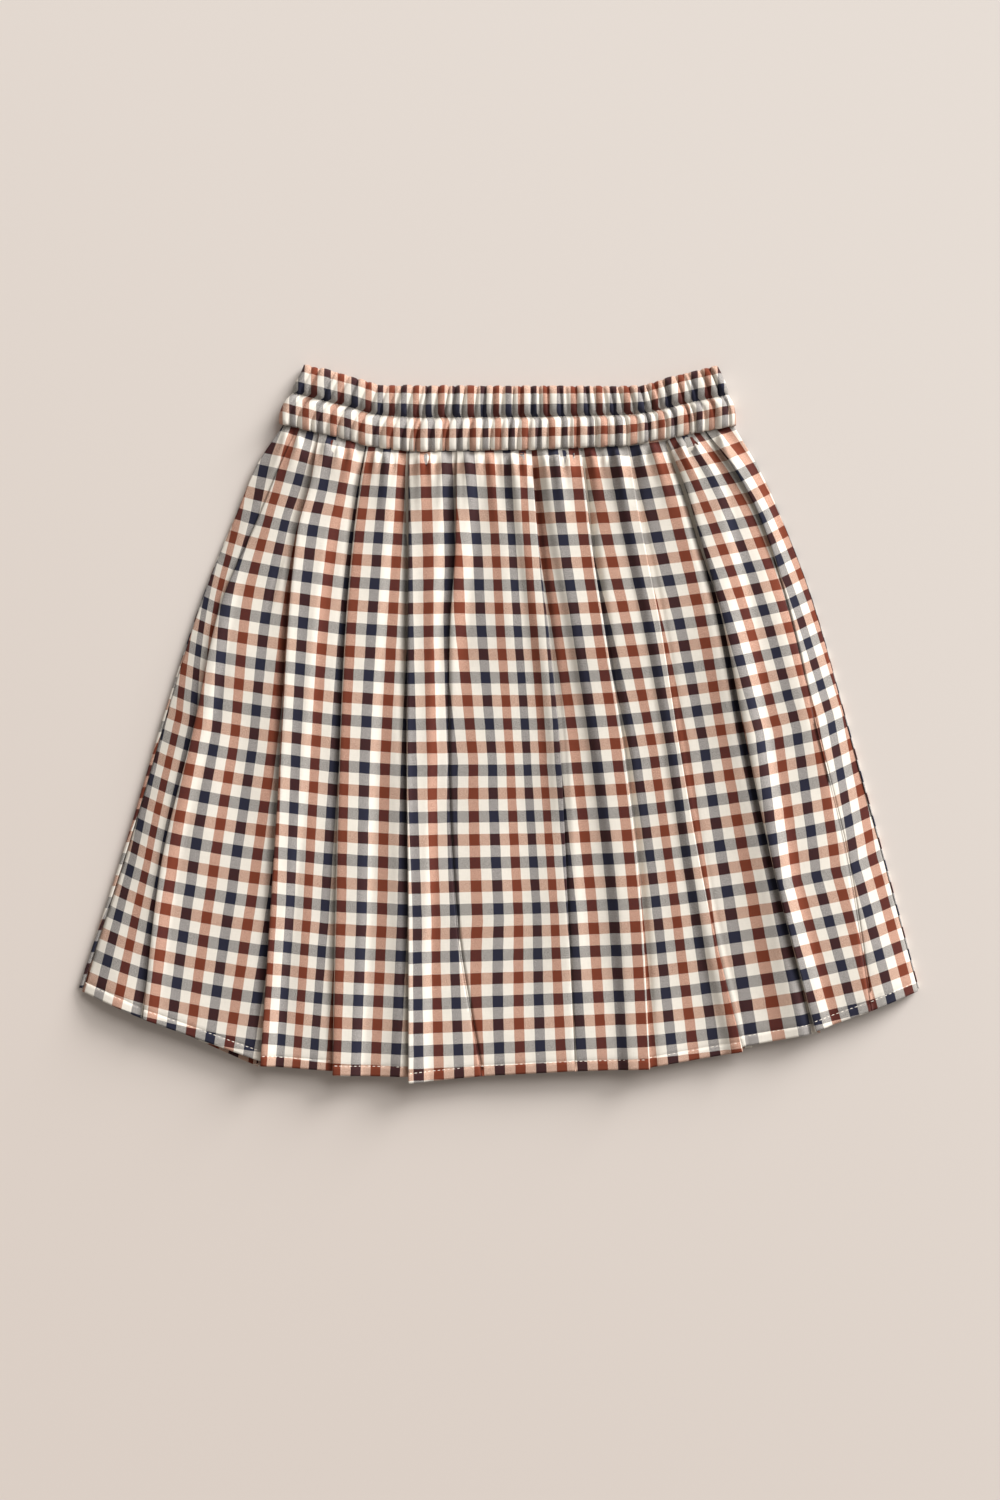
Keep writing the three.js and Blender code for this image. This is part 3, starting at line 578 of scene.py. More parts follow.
def grid_mesh(name, rows, flip=False):
    """A sheet of quads from rows of equal length, with its cloth coordinates as a UV map."""
    points = np.array([np.stack([r["x"], r["y"], r["z"]], axis=1) for r in rows]) * MM
    cloth = np.array([np.stack([r["u"], -r["v"]], axis=1) for r in rows]) * MM
    count, width = points.shape[:2]
    index = np.arange(count * width).reshape(count, width)
    faces = np.stack([index[:-1, :-1], index[:-1, 1:], index[1:, 1:], index[1:, :-1]], axis=-1)
    faces = faces.reshape(-1, 4)
    if flip:
        faces = faces[:, ::-1]
    piece = smooth_piece(name, points.reshape(-1, 3).tolist(), faces.tolist())
    layer = piece.data.uv_layers.new(name="Cloth")
    flat = cloth.reshape(-1, 2)[faces.reshape(-1)]
    layer.data.foreach_set("uv", flat.reshape(-1).astype(np.float32))
    return piece


def select_only(piece):
    """Deselects all but one piece and makes it the active one."""
    bpy.ops.object.select_all(action="DESELECT")
    bpy.context.view_layer.objects.active = piece
    piece.select_set(True)


def thicken(piece, thickness):
    """Gives a sheet its wall, in millimetres, to both sides of its middle."""
    select_only(piece)
    wall = piece.modifiers.new("Cloth wall", "SOLIDIFY")
    wall.thickness = thickness * MM
    wall.offset = 0.0
    wall.use_even_offset = False
    bpy.ops.object.modifier_apply(modifier=wall.name)


def finish_piece(piece, material, slot, *nodes):
    """Dresses a piece, ties it to its body and lets it stand for its node."""
    piece.data.materials.clear()
    piece.data.materials.append(material)
    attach(piece, "root")
    if nodes:
        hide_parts(*nodes)


# ---------------------------------------------------------------- shader node groups

def new_group(name, inputs, outputs):
    group = bpy.data.node_groups.new(name, "ShaderNodeTree")
    for label, kind, default in inputs:
        socket = group.interface.new_socket(name=label, in_out="INPUT", socket_type=kind)
        if default is not None:
            socket.default_value = default
    for label, kind in outputs:
        group.interface.new_socket(name=label, in_out="OUTPUT", socket_type=kind)
    return group, group.nodes.new("NodeGroupInput"), group.nodes.new("NodeGroupOutput")


class Wiring:
    """Short ways to add and join nodes in one tree."""

    def __init__(self, tree):
        self.tree = tree

    def join(self, source, target):
        self.tree.links.new(source, target)

    def feed(self, socket, value):
        if isinstance(value, bpy.types.NodeSocket):
            self.join(value, socket)
        elif value is not None:
            socket.default_value = value

    def math(self, kind, a, b=None, c=None):
        node = self.tree.nodes.new("ShaderNodeMath")
        node.operation = kind
        for socket, value in zip(node.inputs, (a, b, c)):
            self.feed(socket, value)
        return node.outputs[0]

    def soft_step(self, value, edge, softness):
        node = self.tree.nodes.new("ShaderNodeMapRange")
        node.interpolation_type = "SMOOTHSTEP"
        self.feed(node.inputs["Value"], value)
        self.feed(node.inputs["From Min"], self.math("SUBTRACT", edge, softness))
        self.feed(node.inputs["From Max"], self.math("ADD", edge, softness))
        return node.outputs["Result"]

    def blend(self, factor, a, b, kind="MIX"):
        node = self.tree.nodes.new("ShaderNodeMix")
        node.data_type = "RGBA"
        node.blend_type = kind
        self.feed(node.inputs[0], factor)
        self.feed(node.inputs[6], a)
        self.feed(node.inputs[7], b)
        return node.outputs[2]

    def shade(self, colour, value):
        """A colour made darker or lighter by a value."""
        return self.blend(1.0, colour, self.combine(value, value, value), "MULTIPLY")

    def bump(self, height, strength, distance, normal=None):
        node = self.tree.nodes.new("ShaderNodeBump")
        node.inputs["Strength"].default_value = strength
        node.inputs["Distance"].default_value = distance
        self.feed(node.inputs["Height"], height)
        self.feed(node.inputs["Normal"], normal)
        return node.outputs["Normal"]

    def noise(self, vector, scale, detail=2.0, roughness=0.5):
        node = self.tree.nodes.new("ShaderNodeTexNoise")
        self.feed(node.inputs["Vector"], vector)
        self.feed(node.inputs["Scale"], scale)
        self.feed(node.inputs["Detail"], detail)
        self.feed(node.inputs["Roughness"], roughness)
        return node.outputs["Fac"]

    def combine(self, x, y, z=0.0):
        node = self.tree.nodes.new("ShaderNodeCombineXYZ")
        for socket, value in zip(node.inputs, (x, y, z)):
            self.feed(socket, value)
        return node.outputs[0]

    def split(self, vector):
        node = self.tree.nodes.new("ShaderNodeSeparateXYZ")
        self.feed(node.inputs[0], vector)
        return node.outputs


def yarn_stripes_group():
    """Four yarn stripes of one width, dark, pale, warm and pale, by the place across them."""
    group, given, out = new_group(
        "Yarn stripes",
        [("Place", "NodeSocketFloat", 0.0), ("Repeat", "NodeSocketFloat", 0.03),
         ("Navy", "NodeSocketColor", (0.03, 0.03, 0.05, 1)),
         ("Cream", "NodeSocketColor", (0.94, 0.86, 0.75, 1)),
         ("Rust", "NodeSocketColor", (0.22, 0.06, 0.03, 1))],
        [("Color", "NodeSocketColor"), ("Navy mask", "NodeSocketFloat"),
         ("Rust mask", "NodeSocketFloat")])
    w = Wiring(group)
    phase = w.math("DIVIDE", given.outputs["Place"], given.outputs["Repeat"])
    phase = w.math("FRACT", w.math("ADD", phase, 0.5))
    off = w.math("ABSOLUTE", w.math("SUBTRACT", phase, 0.5))
    not_navy = w.soft_step(off, 0.125, 0.004)
    is_rust = w.soft_step(off, 0.375, 0.004)
    colour = w.blend(not_navy, given.outputs["Navy"], given.outputs["Cream"])
    w.join(w.blend(is_rust, colour, given.outputs["Rust"]), out.inputs["Color"])
    w.join(w.math("SUBTRACT", 1.0, not_navy), out.inputs["Navy mask"])
    w.join(is_rust, out.inputs["Rust mask"])
    return group


def plain_weave_group():
    """Plain weave: which yarn lies on top, its rounded height, and its slubs."""
    group, given, out = new_group(
        "Plain weave",
        [("Vector", "NodeSocketVector", None), ("Yarn", "NodeSocketFloat", 0.0004),
         ("Slub", "NodeSocketFloat", 0.3)],
        [("Warp on top", "NodeSocketFloat"), ("Height", "NodeSocketFloat"),
         ("Warp slub", "NodeSocketFloat"), ("Weft slub", "NodeSocketFloat")])
    w = Wiring(group)
    x, y, _ = w.split(given.outputs["Vector"])
    wobble = w.noise(given.outputs["Vector"], 260.0, 1.0)
    shift = w.math("MULTIPLY", w.math("SUBTRACT", wobble, 0.5), 0.3)
    across = w.math("ADD", w.math("DIVIDE", x, given.outputs["Yarn"]), shift)
    down = w.math("ADD", w.math("DIVIDE", y, given.outputs["Yarn"]), shift)
    wave_x = w.math("SINE", w.math("MULTIPLY", across, math.pi))
    wave_y = w.math("SINE", w.math("MULTIPLY", down, math.pi))
    both = w.math("MULTIPLY", wave_x, wave_y)
    w.join(w.soft_step(both, 0.0, 0.25), out.inputs["Warp on top"])
    w.join(w.math("ABSOLUTE", both), out.inputs["Height"])
    # Slubs are long along their own yarn.
    warp = w.noise(w.combine(x, w.math("MULTIPLY", y, 0.12)), 1400.0, 1.0)
    weft = w.noise(w.combine(w.math("MULTIPLY", x, 0.12), y), 1400.0, 1.0)
    for value, name in ((warp, "Warp slub"), (weft, "Weft slub")):
        centred = w.math("SUBTRACT", value, 0.5)
        w.join(w.math("MULTIPLY_ADD", centred, given.outputs["Slub"], 1.0), out.inputs[name])
    return group


def group_node(tree, group, **values):
    node = tree.nodes.new("ShaderNodeGroup")
    node.node_tree = group
    for name, value in values.items():
        Wiring(tree).feed(node.inputs[name.replace("_", " ")], value)
    return node


def shared_group(name, maker):
    return bpy.data.node_groups.get(name) or maker()


def cloth_shader(name, roughness, sheen):
    """A new matt material, its tree and its shader."""
    material = bpy.data.materials.new(name)
    material.use_nodes = True
    tree = material.node_tree
    shader = tree.nodes["Principled BSDF"]
    shader.inputs["Roughness"].default_value = roughness
    shader.inputs["Specular IOR Level"].default_value = 0.18
    shader.inputs["Sheen Weight"].default_value = sheen
    shader.inputs["Sheen Roughness"].default_value = 0.5
    return material, tree, shader


def cloth_uv(tree):
    node = tree.nodes.new("ShaderNodeUVMap")
    node.uv_map = "Cloth"
    return node.outputs["UV"]


def checked_cotton():
    """Yarn-dyed check in plain weave: warp and weft stripes, mixed where they cross."""
    settings = bpy.context.scene.skort_cloth
    material, tree, shader = cloth_shader("Checked cotton", 0.88, 0.08)
    w = Wiring(tree)
    uv = cloth_uv(tree)
    u, v, _ = w.split(uv)
    stripes = shared_group("Yarn stripes", yarn_stripes_group)
    weave = shared_group("Plain weave", plain_weave_group)
    colours = {name: (*getattr(settings, name.lower()), 1.0) for name in ("Navy", "Cream", "Rust")}
    waver = w.math("MULTIPLY", w.math("SUBTRACT", w.noise(uv, 90.0, 2.0), 0.5), 0.0007)
    warp = group_node(tree, stripes, Place=w.math("ADD", u, waver), Repeat=settings.warp_repeat,
                      **colours)
    down = w.math("SUBTRACT", w.math("MULTIPLY", v, -1.0), settings.weft_start)
    weft = group_node(tree, stripes, Place=w.math("ADD", down, waver), Repeat=settings.weft_repeat,
                      **colours)
    yarns = group_node(tree, weave, Vector=uv, Yarn=settings.yarn, Slub=settings.slub)
    mottle = w.math("MULTIPLY_ADD", w.noise(uv, 1500.0, 2.0, 0.6), 0.4, 0.3)
    top = w.math("MULTIPLY_ADD", yarns.outputs["Warp on top"], 0.8, w.math("MULTIPLY", mottle, 0.2))
    warp_colour = w.shade(warp.outputs["Color"], yarns.outputs["Warp slub"])
    weft_colour = w.shade(weft.outputs["Color"], yarns.outputs["Weft slub"])
    woven = w.blend(top, weft_colour, warp_colour)
    # Where two colours cross, light that passes from yarn to yarn tints the mix.
    masks = {}
    for name, group in (("warp", warp), ("weft", weft)):
        navy, rust = group.outputs["Navy mask"], group.outputs["Rust mask"]
        cream = w.math("SUBTRACT", w.math("SUBTRACT", 1.0, navy), rust)
        masks[name] = {"navy": navy, "rust": rust, "cream": cream}
    for along, across, tint in CROSSING_TINTS:
        both = w.math("MULTIPLY", masks["warp"][along], masks["weft"][across])
        woven = w.blend(both, woven, w.blend(1.0, woven, (*tint, 1), "MULTIPLY"))
    w.join(woven, shader.inputs["Base Color"])
    rough = w.math("MULTIPLY_ADD", w.noise(uv, 500.0, 2.0), 0.1, 0.83)
    w.join(rough, shader.inputs["Roughness"])
    soft = w.bump(w.noise(uv, 45.0, 3.0, 0.55), 0.35, 0.0012)
    w.join(w.bump(yarns.outputs["Height"], 0.35, 0.00025, soft), shader.inputs["Normal"])
    return material


def plain_cotton():
    """Plain cream cotton of the shorts."""
    settings = bpy.context.scene.skort_cloth
    material, tree, shader = cloth_shader("Plain cotton", 0.9, 0.1)
    w = Wiring(tree)
    uv = cloth_uv(tree)
    weave = shared_group("Plain weave", plain_weave_group)
    yarns = group_node(tree, weave, Vector=uv, Yarn=settings.yarn, Slub=settings.slub)
    slub = w.math("MULTIPLY", yarns.outputs["Warp slub"], yarns.outputs["Weft slub"])
    colour = w.shade((*settings.shorts, 1.0), slub)
    w.join(colour, shader.inputs["Base Color"])
    w.join(w.math("MULTIPLY_ADD", w.noise(uv, 500.0, 2.0), 0.1, 0.84), shader.inputs["Roughness"])
    w.join(w.bump(yarns.outputs["Height"], 0.4, 0.0003), shader.inputs["Normal"])
    return material


def sewing_thread():
    """Cream thread with a twist."""
    settings = bpy.context.scene.skort_cloth
    material, tree, shader = cloth_shader("Sewing thread", 0.6, 0.1)
    w = Wiring(tree)
    place = tree.nodes.new("ShaderNodeTexCoord").outputs["Object"]
    fleck = w.math("MULTIPLY_ADD", w.noise(place, 2500.0, 2.0), 0.3, 0.85)
    colour = w.shade((*settings.thread, 1.0), fleck)
    w.join(colour, shader.inputs["Base Color"])
    w.join(w.math("MULTIPLY_ADD", fleck, 0.2, 0.4), shader.inputs["Roughness"])
    return material


def shared_material(name, maker):
    return bpy.data.materials.get(name) or maker()


# ---------------------------------------------------------------- settings

class SkortClothSettings(bpy.types.PropertyGroup):
    """Colours and sizes of the cloths."""
    navy: bpy.props.FloatVectorProperty(
        name="Navy", description="Colour of the dark yarn", subtype="COLOR", size=3, min=0, max=1,
        default=(0.0175, 0.0185, 0.037))
    cream: bpy.props.FloatVectorProperty(
        name="Cream", description="Colour of the pale yarn", subtype="COLOR", size=3, min=0, max=1,
        default=(0.81, 0.765, 0.69))
    rust: bpy.props.FloatVectorProperty(
        name="Rust", description="Colour of the warm yarn", subtype="COLOR", size=3, min=0, max=1,
        default=(0.17, 0.037, 0.017))
    shorts: bpy.props.FloatVectorProperty(
        name="Shorts", description="Colour of the plain shorts", subtype="COLOR", size=3, min=0,
        max=1, default=(0.82, 0.75, 0.65))
    thread: bpy.props.FloatVectorProperty(
        name="Thread", description="Colour of the sewing thread", subtype="COLOR", size=3, min=0,
        max=1, default=(0.88, 0.82, 0.72))
    warp_repeat: bpy.props.FloatProperty(
        name="Warp repeat", description="Width of four warp stripes", default=WARP_REPEAT * MM,
        unit="LENGTH")
    weft_repeat: bpy.props.FloatProperty(
        name="Weft repeat", description="Height of four weft stripes",
        default=WEFT_REPEAT * MM, unit="LENGTH")
    weft_start: bpy.props.FloatProperty(
        name="Weft start", description="From the waist seam to the first dark row's middle",
        default=0.0271, unit="LENGTH")
    yarn: bpy.props.FloatProperty(
        name="Yarn", description="Distance from yarn to yarn", default=0.00042, unit="LENGTH")
    slub: bpy.props.FloatProperty(
        name="Slub", description="How uneven the yarns' colour is", default=0.2, min=0, max=1)
    thickness: bpy.props.FloatProperty(
        name="Thickness", description="Thickness of the cloth", default=0.0005, unit="LENGTH")


class SkortShapeSettings(bpy.types.PropertyGroup):
    """Sizes of the folds, ripples and stitches."""
    front_drape: bpy.props.FloatProperty(
        name="Front drape", description="Height of the front's slow unevenness in millimetres",
        default=0.55, min=0, max=3)
    ripple: bpy.props.FloatProperty(
        name="Ripple", description="Height of the waistband's ripples", default=0.0028,
        unit="LENGTH")
    hem_stitch: bpy.props.FloatProperty(
        name="Hem stitch", description="Length of one stitch of the hem", default=0.0024,
        unit="LENGTH")
    hem_gap: bpy.props.FloatProperty(
        name="Hem stitch gap", description="Gap between stitches", default=0.0011, unit="LENGTH")


class SkortStageSettings(bpy.types.PropertyGroup):
    """Floor, light and camera."""
    # Painted light: the floor's colour is painted lighter up at the right, towards the lamps, and
    # painted darker down at the left as shade.
    floor: bpy.props.FloatVectorProperty(
        name="Floor", description="Colour of the floor up at the right", subtype="COLOR", size=3,
        min=0, max=1, default=(0.7, 0.658, 0.628))
    floor_painted_shade: bpy.props.FloatVectorProperty(
        name="Floor below", description="Colour of the floor down at the left", subtype="COLOR",
        size=3, min=0, max=1, default=(0.62, 0.56, 0.522))
    key: bpy.props.FloatProperty(
        name="Key light", description="Strength of the main light", default=2.2, min=0, max=20)
    low: bpy.props.FloatProperty(
        name="Low light", description="Strength of the raking light", default=3.7, min=0, max=20)
    softness: bpy.props.FloatProperty(
        name="Softness", description="Angle that the main light covers", default=0.8,
        unit="ROTATION")
    sky: bpy.props.FloatProperty(
        name="Sky", description="Strength of the light from all round", default=0.33, min=0, max=5)
    height: bpy.props.FloatProperty(
        name="Camera height", description="Height of the camera over the floor", default=2.538,
        unit="LENGTH")


# ---------------------------------------------------------------- panels

# A panel's columns are its faces across each stretch between folds, and its bows are how far the
# warp stripes swing aside in the middle of a stretch.
def front_panel():
    settings = bpy.context.scene.skort_shape
    return {
        "folds": named_rows(FOLD_COLUMNS, FRONT_FOLDS), "faces_up": True,
        "base": front_base, "creases": named_rows(CREASE_COLUMNS, FRONT_CREASES),
        "gathers": named_rows(GATHER_COLUMNS, FRONT_GATHERS), "drape": settings.front_drape,
        "columns": (16, 30, 20, 20, 20, 24, 20, 24, 18, 16, 14),
        "bows": (0, 0, 0, 0, 0, -4.5, 0, 0, 0, 0, 0),
    }


def back_panel():
    return {
        "folds": named_rows(FOLD_COLUMNS, BACK_FOLDS), "faces_up": False,
        "base": back_base, "creases": [], "gathers": named_rows(GATHER_COLUMNS, BACK_GATHERS),
        "drape": 0.0, "columns": (34, 28, 46, 30, 34), "bows": (0,) * 5,
    }


def wrap_sides(row, v):
    """Takes the back's cloth round its sides and up to the side seams."""
    lift = float(side_lift(row["y"][0]))
    out = {}
    for side, index in ((-1, 0), (1, -1)):
        angle, inset, _ = side_wrap(v, side)
        turns = np.linspace(-math.pi / 2, angle, 7)[1:]
        run = inset - SIDE_RADIUS * (1 - math.cos(angle))
        edge_x = row["x"][index]
        centre = edge_x - side * SIDE_RADIUS
        x = np.append(centre + side * SIDE_RADIUS * np.cos(turns), 0)
        x[-1] = x[-2] - side * run
        z = np.append(FLOOR_GAP + SIDE_RADIUS * (1 + np.sin(turns)), 0)
        z[-1] = z[-2]
        z = z + lift * smooth((z - FLOOR_GAP) / (2 * SIDE_RADIUS))
        u = row["u"][index] + side * np.append(SIDE_RADIUS * (turns + math.pi / 2),
                                               SIDE_RADIUS * (angle + math.pi / 2) + run)
        order = slice(None, None, -1) if side < 0 else slice(None)
        out[side] = {
            "x": x[order], "z": z[order], "u": u[order],
            "y": np.full(x.shape, row["y"][index]), "v": np.full(x.shape, row["v"][index]),
            "shows": np.full(x.shape, True),
        }
    inner = {key: values.copy() for key, values in row.items()}
    for index, side in ((0, -1), (-1, 1)):
        inner["x"][index] -= side * SIDE_RADIUS
    return {key: np.concatenate([out[-1][key], inner[key], out[1][key]]) for key in row}


def make_skirt(panel, name, node, wrap):
    """One skirt panel as a wall of cloth. The back also wraps round the sides."""
    rows = []
    for v in panel_rows():
        row = panel_row(panel, v)
        rows.append(wrap_sides(row, v) if wrap else row)
    settings = bpy.context.scene.skort_cloth
    piece = grid_mesh(name, rows, flip=wrap)
    thicken(piece, settings.thickness / MM)
    finish_piece(piece, shared_material("Checked cotton", checked_cotton), "checked_cotton", node)
    return piece


class SKORT_OT_skirt(bpy.types.Operator):
    """Make the front and back of the skirt with their folds, gathers and hems"""
    bl_idname = "skort.skirt"
    bl_label = "Skirt panels"

    def execute(self, context):
        back = make_skirt(back_panel(), "skirt_back", "back_panel", True)
        front = make_skirt(front_panel(), "skirt_front", "front_panel", False)
        return {"FINISHED"}


# ---------------------------------------------------------------- waistband

def ripple_edge(index, channel):
    """Where the groove before a ripple lies, in ripples from the band's left end."""
    shared = 0.5 * (vary(index, 5) - 0.5)
    own = 0.45 * (vary(index, 31 + channel) - 0.5)
    return index + shared + own


def ripple_at(share, channel):
    """Rounded ridges with narrow grooves between them, uneven along the band."""
    out = np.zeros_like(share)
    for k, place in enumerate(share * BAND_RIPPLES):
        b = int(place)
        while place < ripple_edge(b, channel):
            b -= 1
        while place >= ripple_edge(b + 1, channel):
            b += 1
        left, right = ripple_edge(b, channel), ripple_edge(b + 1, channel)
        t = (place - left) / (right - left)
        size = lerp(0.35, 1.0, vary(b, 9 + channel)) * min(1.3, right - left)
        lean = 0.5 * (vary(b, 17 + channel) - 0.5)
        groove = lerp(vary(b, 23 + channel), vary(b + 1, 23 + channel), t)
        peak = 1 - abs(2 * t - 1) ** 2.8
        out[k] = size * peak * (1 + lean * (2 * t - 1)) - (0.3 + groove) * abs(2 * t - 1) ** 8
    return out


def band_cloth(x, rust_stripes):
    """Places along the band's cut, from where its rust stripes lie."""
    places = [WARP_REPEAT * (k - 6.5) for k in range(len(rust_stripes))]
    # Past the outer stripes the cloth goes on, 1.6 times as long as the band.
    xs = [rust_stripes[0] - 40, *rust_stripes, rust_stripes[-1] + 40]
    us = [places[0] - 64, *places, places[-1] + 64]
    return np.interp(x, xs, us)


def band_rows_of(faces_up):
    """Rows of one half's outer face, from the waist seam to the top edge."""
    rows = named_rows(BAND_COLUMNS, BAND_ROWS)
    ups = [r["up"] for r in rows]

    def read(key, up):
        return float(np.interp(up, ups, [r[key] for r in rows]))

    height = bpy.context.scene.skort_shape.ripple / MM
    ends = [0.002, 0.005, 0.995, 0.998]
    share = np.unique(np.concatenate([np.linspace(0, 1, BAND_RIPPLES * 8 + 1), ends]))
    lower = ripple_at(share, 0 if faces_up else 40)
    upper = ripple_at(share, 1 if faces_up else 41)
    length = rows[0]["right"] - rows[0]["left"]
    from_end = np.clip(np.minimum(share, 1 - share) * length / 5.0, 0.02, 1)
    round_end = np.sqrt(1 - (1 - from_end) ** 2)
    out = []
    for up in BAND_STEPS:
        mix = float(smooth((up - 0.42) / 0.16))
        ripple = lerp(lower, upper, mix)
        seam_x = lerp(rows[0]["left"], rows[0]["right"], share)
        top_x = lerp(rows[-1]["left"], rows[-1]["right"], share)
        seam_y = along_line(WAIST_SEAM, seam_x) + along_line(BAND_LOWER_EDGE, seam_x) + 0.15
        top_y = along_line(BAND_TOP_EDGE, top_x) + 0.9 * ripple * (up > 0.9)
        x = lerp(read("left", up), read("right", up), share)
        overhang = float(smooth(up / 0.02) * smooth((0.14 - up) / 0.12))
        y = lerp(seam_y, top_y, up) - overhang * (2.2 + 0.5 * ripple)
        pressed = 1.0 if faces_up else 0.66
        proud = pressed * read("proud", up) * round_end + ripple * read("ripple", up) * height
        z = BAND_INSIDE + BAND_GAP + proud
        if not faces_up:
            z = np.maximum(0.1, BAND_INSIDE - BAND_GAP - proud)
        u = lerp(band_cloth(x, BAND_RUST_LOWER), band_cloth(x, BAND_RUST_UPPER), mix)
        weft = np.interp(up, [row[0] for row in BAND_WEFT], [row[1] for row in BAND_WEFT])
        out.append({"x": x, "y": y, "z": z, "u": u, "v": np.full(x.shape, weft)})
    return out


def close_band(rows, faces_up):
    """Adds the inner face, so that each half is a closed form."""
    inside = BAND_INSIDE + (BAND_GAP if faces_up else -BAND_GAP) / 2
    back = []
    for row in (rows[-1], rows[len(rows) // 2], rows[0]):
        copy = {key: values.copy() for key, values in row.items()}
        copy["z"] = np.full(row["z"].shape, inside)
        back.append(copy)
    return rows + back + [rows[0]]


def make_band(name, node, faces_up):
    """One half of the waistband as a closed form."""
    rows = close_band(band_rows_of(faces_up), faces_up)
    piece = grid_mesh(name, rows, flip=not faces_up)
    select_only(piece)
    mesh = bmesh.new()
    mesh.from_mesh(piece.data)
    bmesh.ops.remove_doubles(mesh, verts=mesh.verts, dist=1e-6)
    edges = [e for e in mesh.edges if e.is_boundary]
    bmesh.ops.holes_fill(mesh, edges=edges, sides=0)
    bmesh.ops.recalc_face_normals(mesh, faces=mesh.faces)
    mesh.to_mesh(piece.data)
    mesh.free()
    finish_piece(piece, shared_material("Checked cotton", checked_cotton), "waistband_cotton", node)
    return piece


class SKORT_OT_waistband(bpy.types.Operator):
    """Make the two halves of the elastic waistband with their channels and ripples"""
    bl_idname = "skort.waistband"
    bl_label = "Waistband"

    def execute(self, context):
        back = make_band("waistband_back_cloth", "waistband_back", False)
        front = make_band("waistband_front_cloth", "waistband_front", True)
        return {"FINISHED"}


# ---------------------------------------------------------------- shorts

def shorts_inner_edge(y):
    """From the middle line to a quarter's inner edge: centre seam, crotch curve and leg."""
    if y > CROTCH_TOP:
        return 0.3
    if y > CROTCH:
        return 0.3 + 2.6 * ((CROTCH_TOP - y) / (CROTCH_TOP - CROTCH)) ** 2
    return 3.0 + 3.0 * (CROTCH - y) / 81


def make_shorts(name, node, side, level):
    """One quarter of the shorts as a wall of cloth."""
    rows = []
    share = np.linspace(0, 1, 60)
    for y in np.linspace(SHORTS_HEM, SHORTS_TOP, 64):
        reach = lerp(shorts_inner_edge(y), shorts_reach(y), share)
        x = SHORTS_MIDDLE + side * reach
        top = along_line(WAIST_SEAM, x) - 0.8
        y_here = np.minimum(y, top) if y > 190 else np.full(x.shape, y)
        wave = 0.18 * np.sin(x * 0.07 + y * 0.03) + 0.12 * np.sin(x * 0.16 - y * 0.05 + 2)
        hem = 0.12 * float(smooth((-90 - y) / 3))
        rows.append({"x": x, "y": y_here, "z": level + wave * 0.6 + hem + np.zeros_like(x),
                     "u": reach * 1.35 * side + 400, "v": SHORTS_TOP - y_here})
    piece = grid_mesh(name, rows, flip=side < 0)
    thicken(piece, 0.4)
    finish_piece(piece, shared_material("Plain cotton", plain_cotton), "plain_cotton", node)
    return piece


class SKORT_OT_shorts(bpy.types.Operator):
    """Make the four quarters of the plain shorts inside the skirt"""
    bl_idname = "skort.shorts"
    bl_label = "Shorts"

    def execute(self, context):
        for layer, level in (("shorts_back", 5.0), ("shorts_front", 6.0)):
            for name, side in (("left", -1), ("right", 1)):
                node = f"{layer}_{name}"
                piece = make_shorts(f"{node}_cloth", node, side, level)
        return {"FINISHED"}


# ---------------------------------------------------------------- stitches

def one_stitch():
    """A short rounded thread, modelled once and copied."""
    bpy.ops.object.select_all(action="DESELECT")
    bpy.ops.mesh.primitive_uv_sphere_add(segments=6, ring_count=4, radius=0.5, location=(0, 0, 0))
    stitch = bpy.context.object
    bpy.ops.object.mode_set(mode="EDIT")
    bpy.ops.mesh.select_all(action="SELECT")
    bpy.ops.transform.rotate(value=math.pi / 2, orient_axis="Y", center_override=(0, 0, 0))
    bpy.ops.object.mode_set(mode="OBJECT")
    points = np.array([v.co[:] for v in stitch.data.vertices])
    faces = [tuple(p.vertices) for p in stitch.data.polygons]
    bpy.data.objects.remove(stitch)
    return points, faces


def stitches_along(points, length, gap, width, lift, sink):
    """Places of stitches along a line of points: centre, direction, and size."""
    steps = np.linalg.norm(np.diff(points, axis=0), axis=1)
    travelled = np.concatenate([[0], np.cumsum(steps)])
    places = []
    at = 0.5 * length
    index = 0
    while at < travelled[-1] - length:
        centre = [np.interp(at, travelled, points[:, k]) for k in range(3)]
        ahead = [np.interp(at + length * 0.5, travelled, points[:, k]) for k in range(3)]
        behind = [np.interp(at - length * 0.5, travelled, points[:, k]) for k in range(3)]
        direction = np.array(ahead) - np.array(behind)
        sunk = sink * vary(index, 3) * (1 if vary(index // 9, 8) > 0.45 else 0.3)
        places.append((np.array(centre) + [0, 0, lift - sunk], direction, length, width))
        at += length + gap
        index += 1
    return places


def stitch_piece(name, places):
    """All stitches of one line of sewing as one piece."""
    points, faces = one_stitch()
    vertices, polygons = [], []
    for centre, direction, length, width in places:
        along = direction / np.linalg.norm(direction)
        across = np.cross([0, 0, 1], along)
        across /= np.linalg.norm(across)
        up = np.cross(along, across)
        start = len(vertices)
        scaled = (points[:, :1] * length * along + points[:, 1:2] * width * across
                  + points[:, 2:] * width * 0.8 * up)
        vertices.extend(((scaled + centre) * MM).tolist())
        polygons.extend([tuple(start + i for i in face) for face in faces])
    return smooth_piece(name, vertices, polygons)


def showing_runs(row):
    """The stretches of a row that show, each as a line of points."""
    runs, current = [], []
    for x, y, z, shows in zip(row["x"], row["y"], row["z"], row["shows"]):
        if shows:
            current.append((x, y, z))
        elif current:
            runs.append(np.array(current))
            current = []
    if current:
        runs.append(np.array(current))
    return [run for run in runs if len(run) > 2]


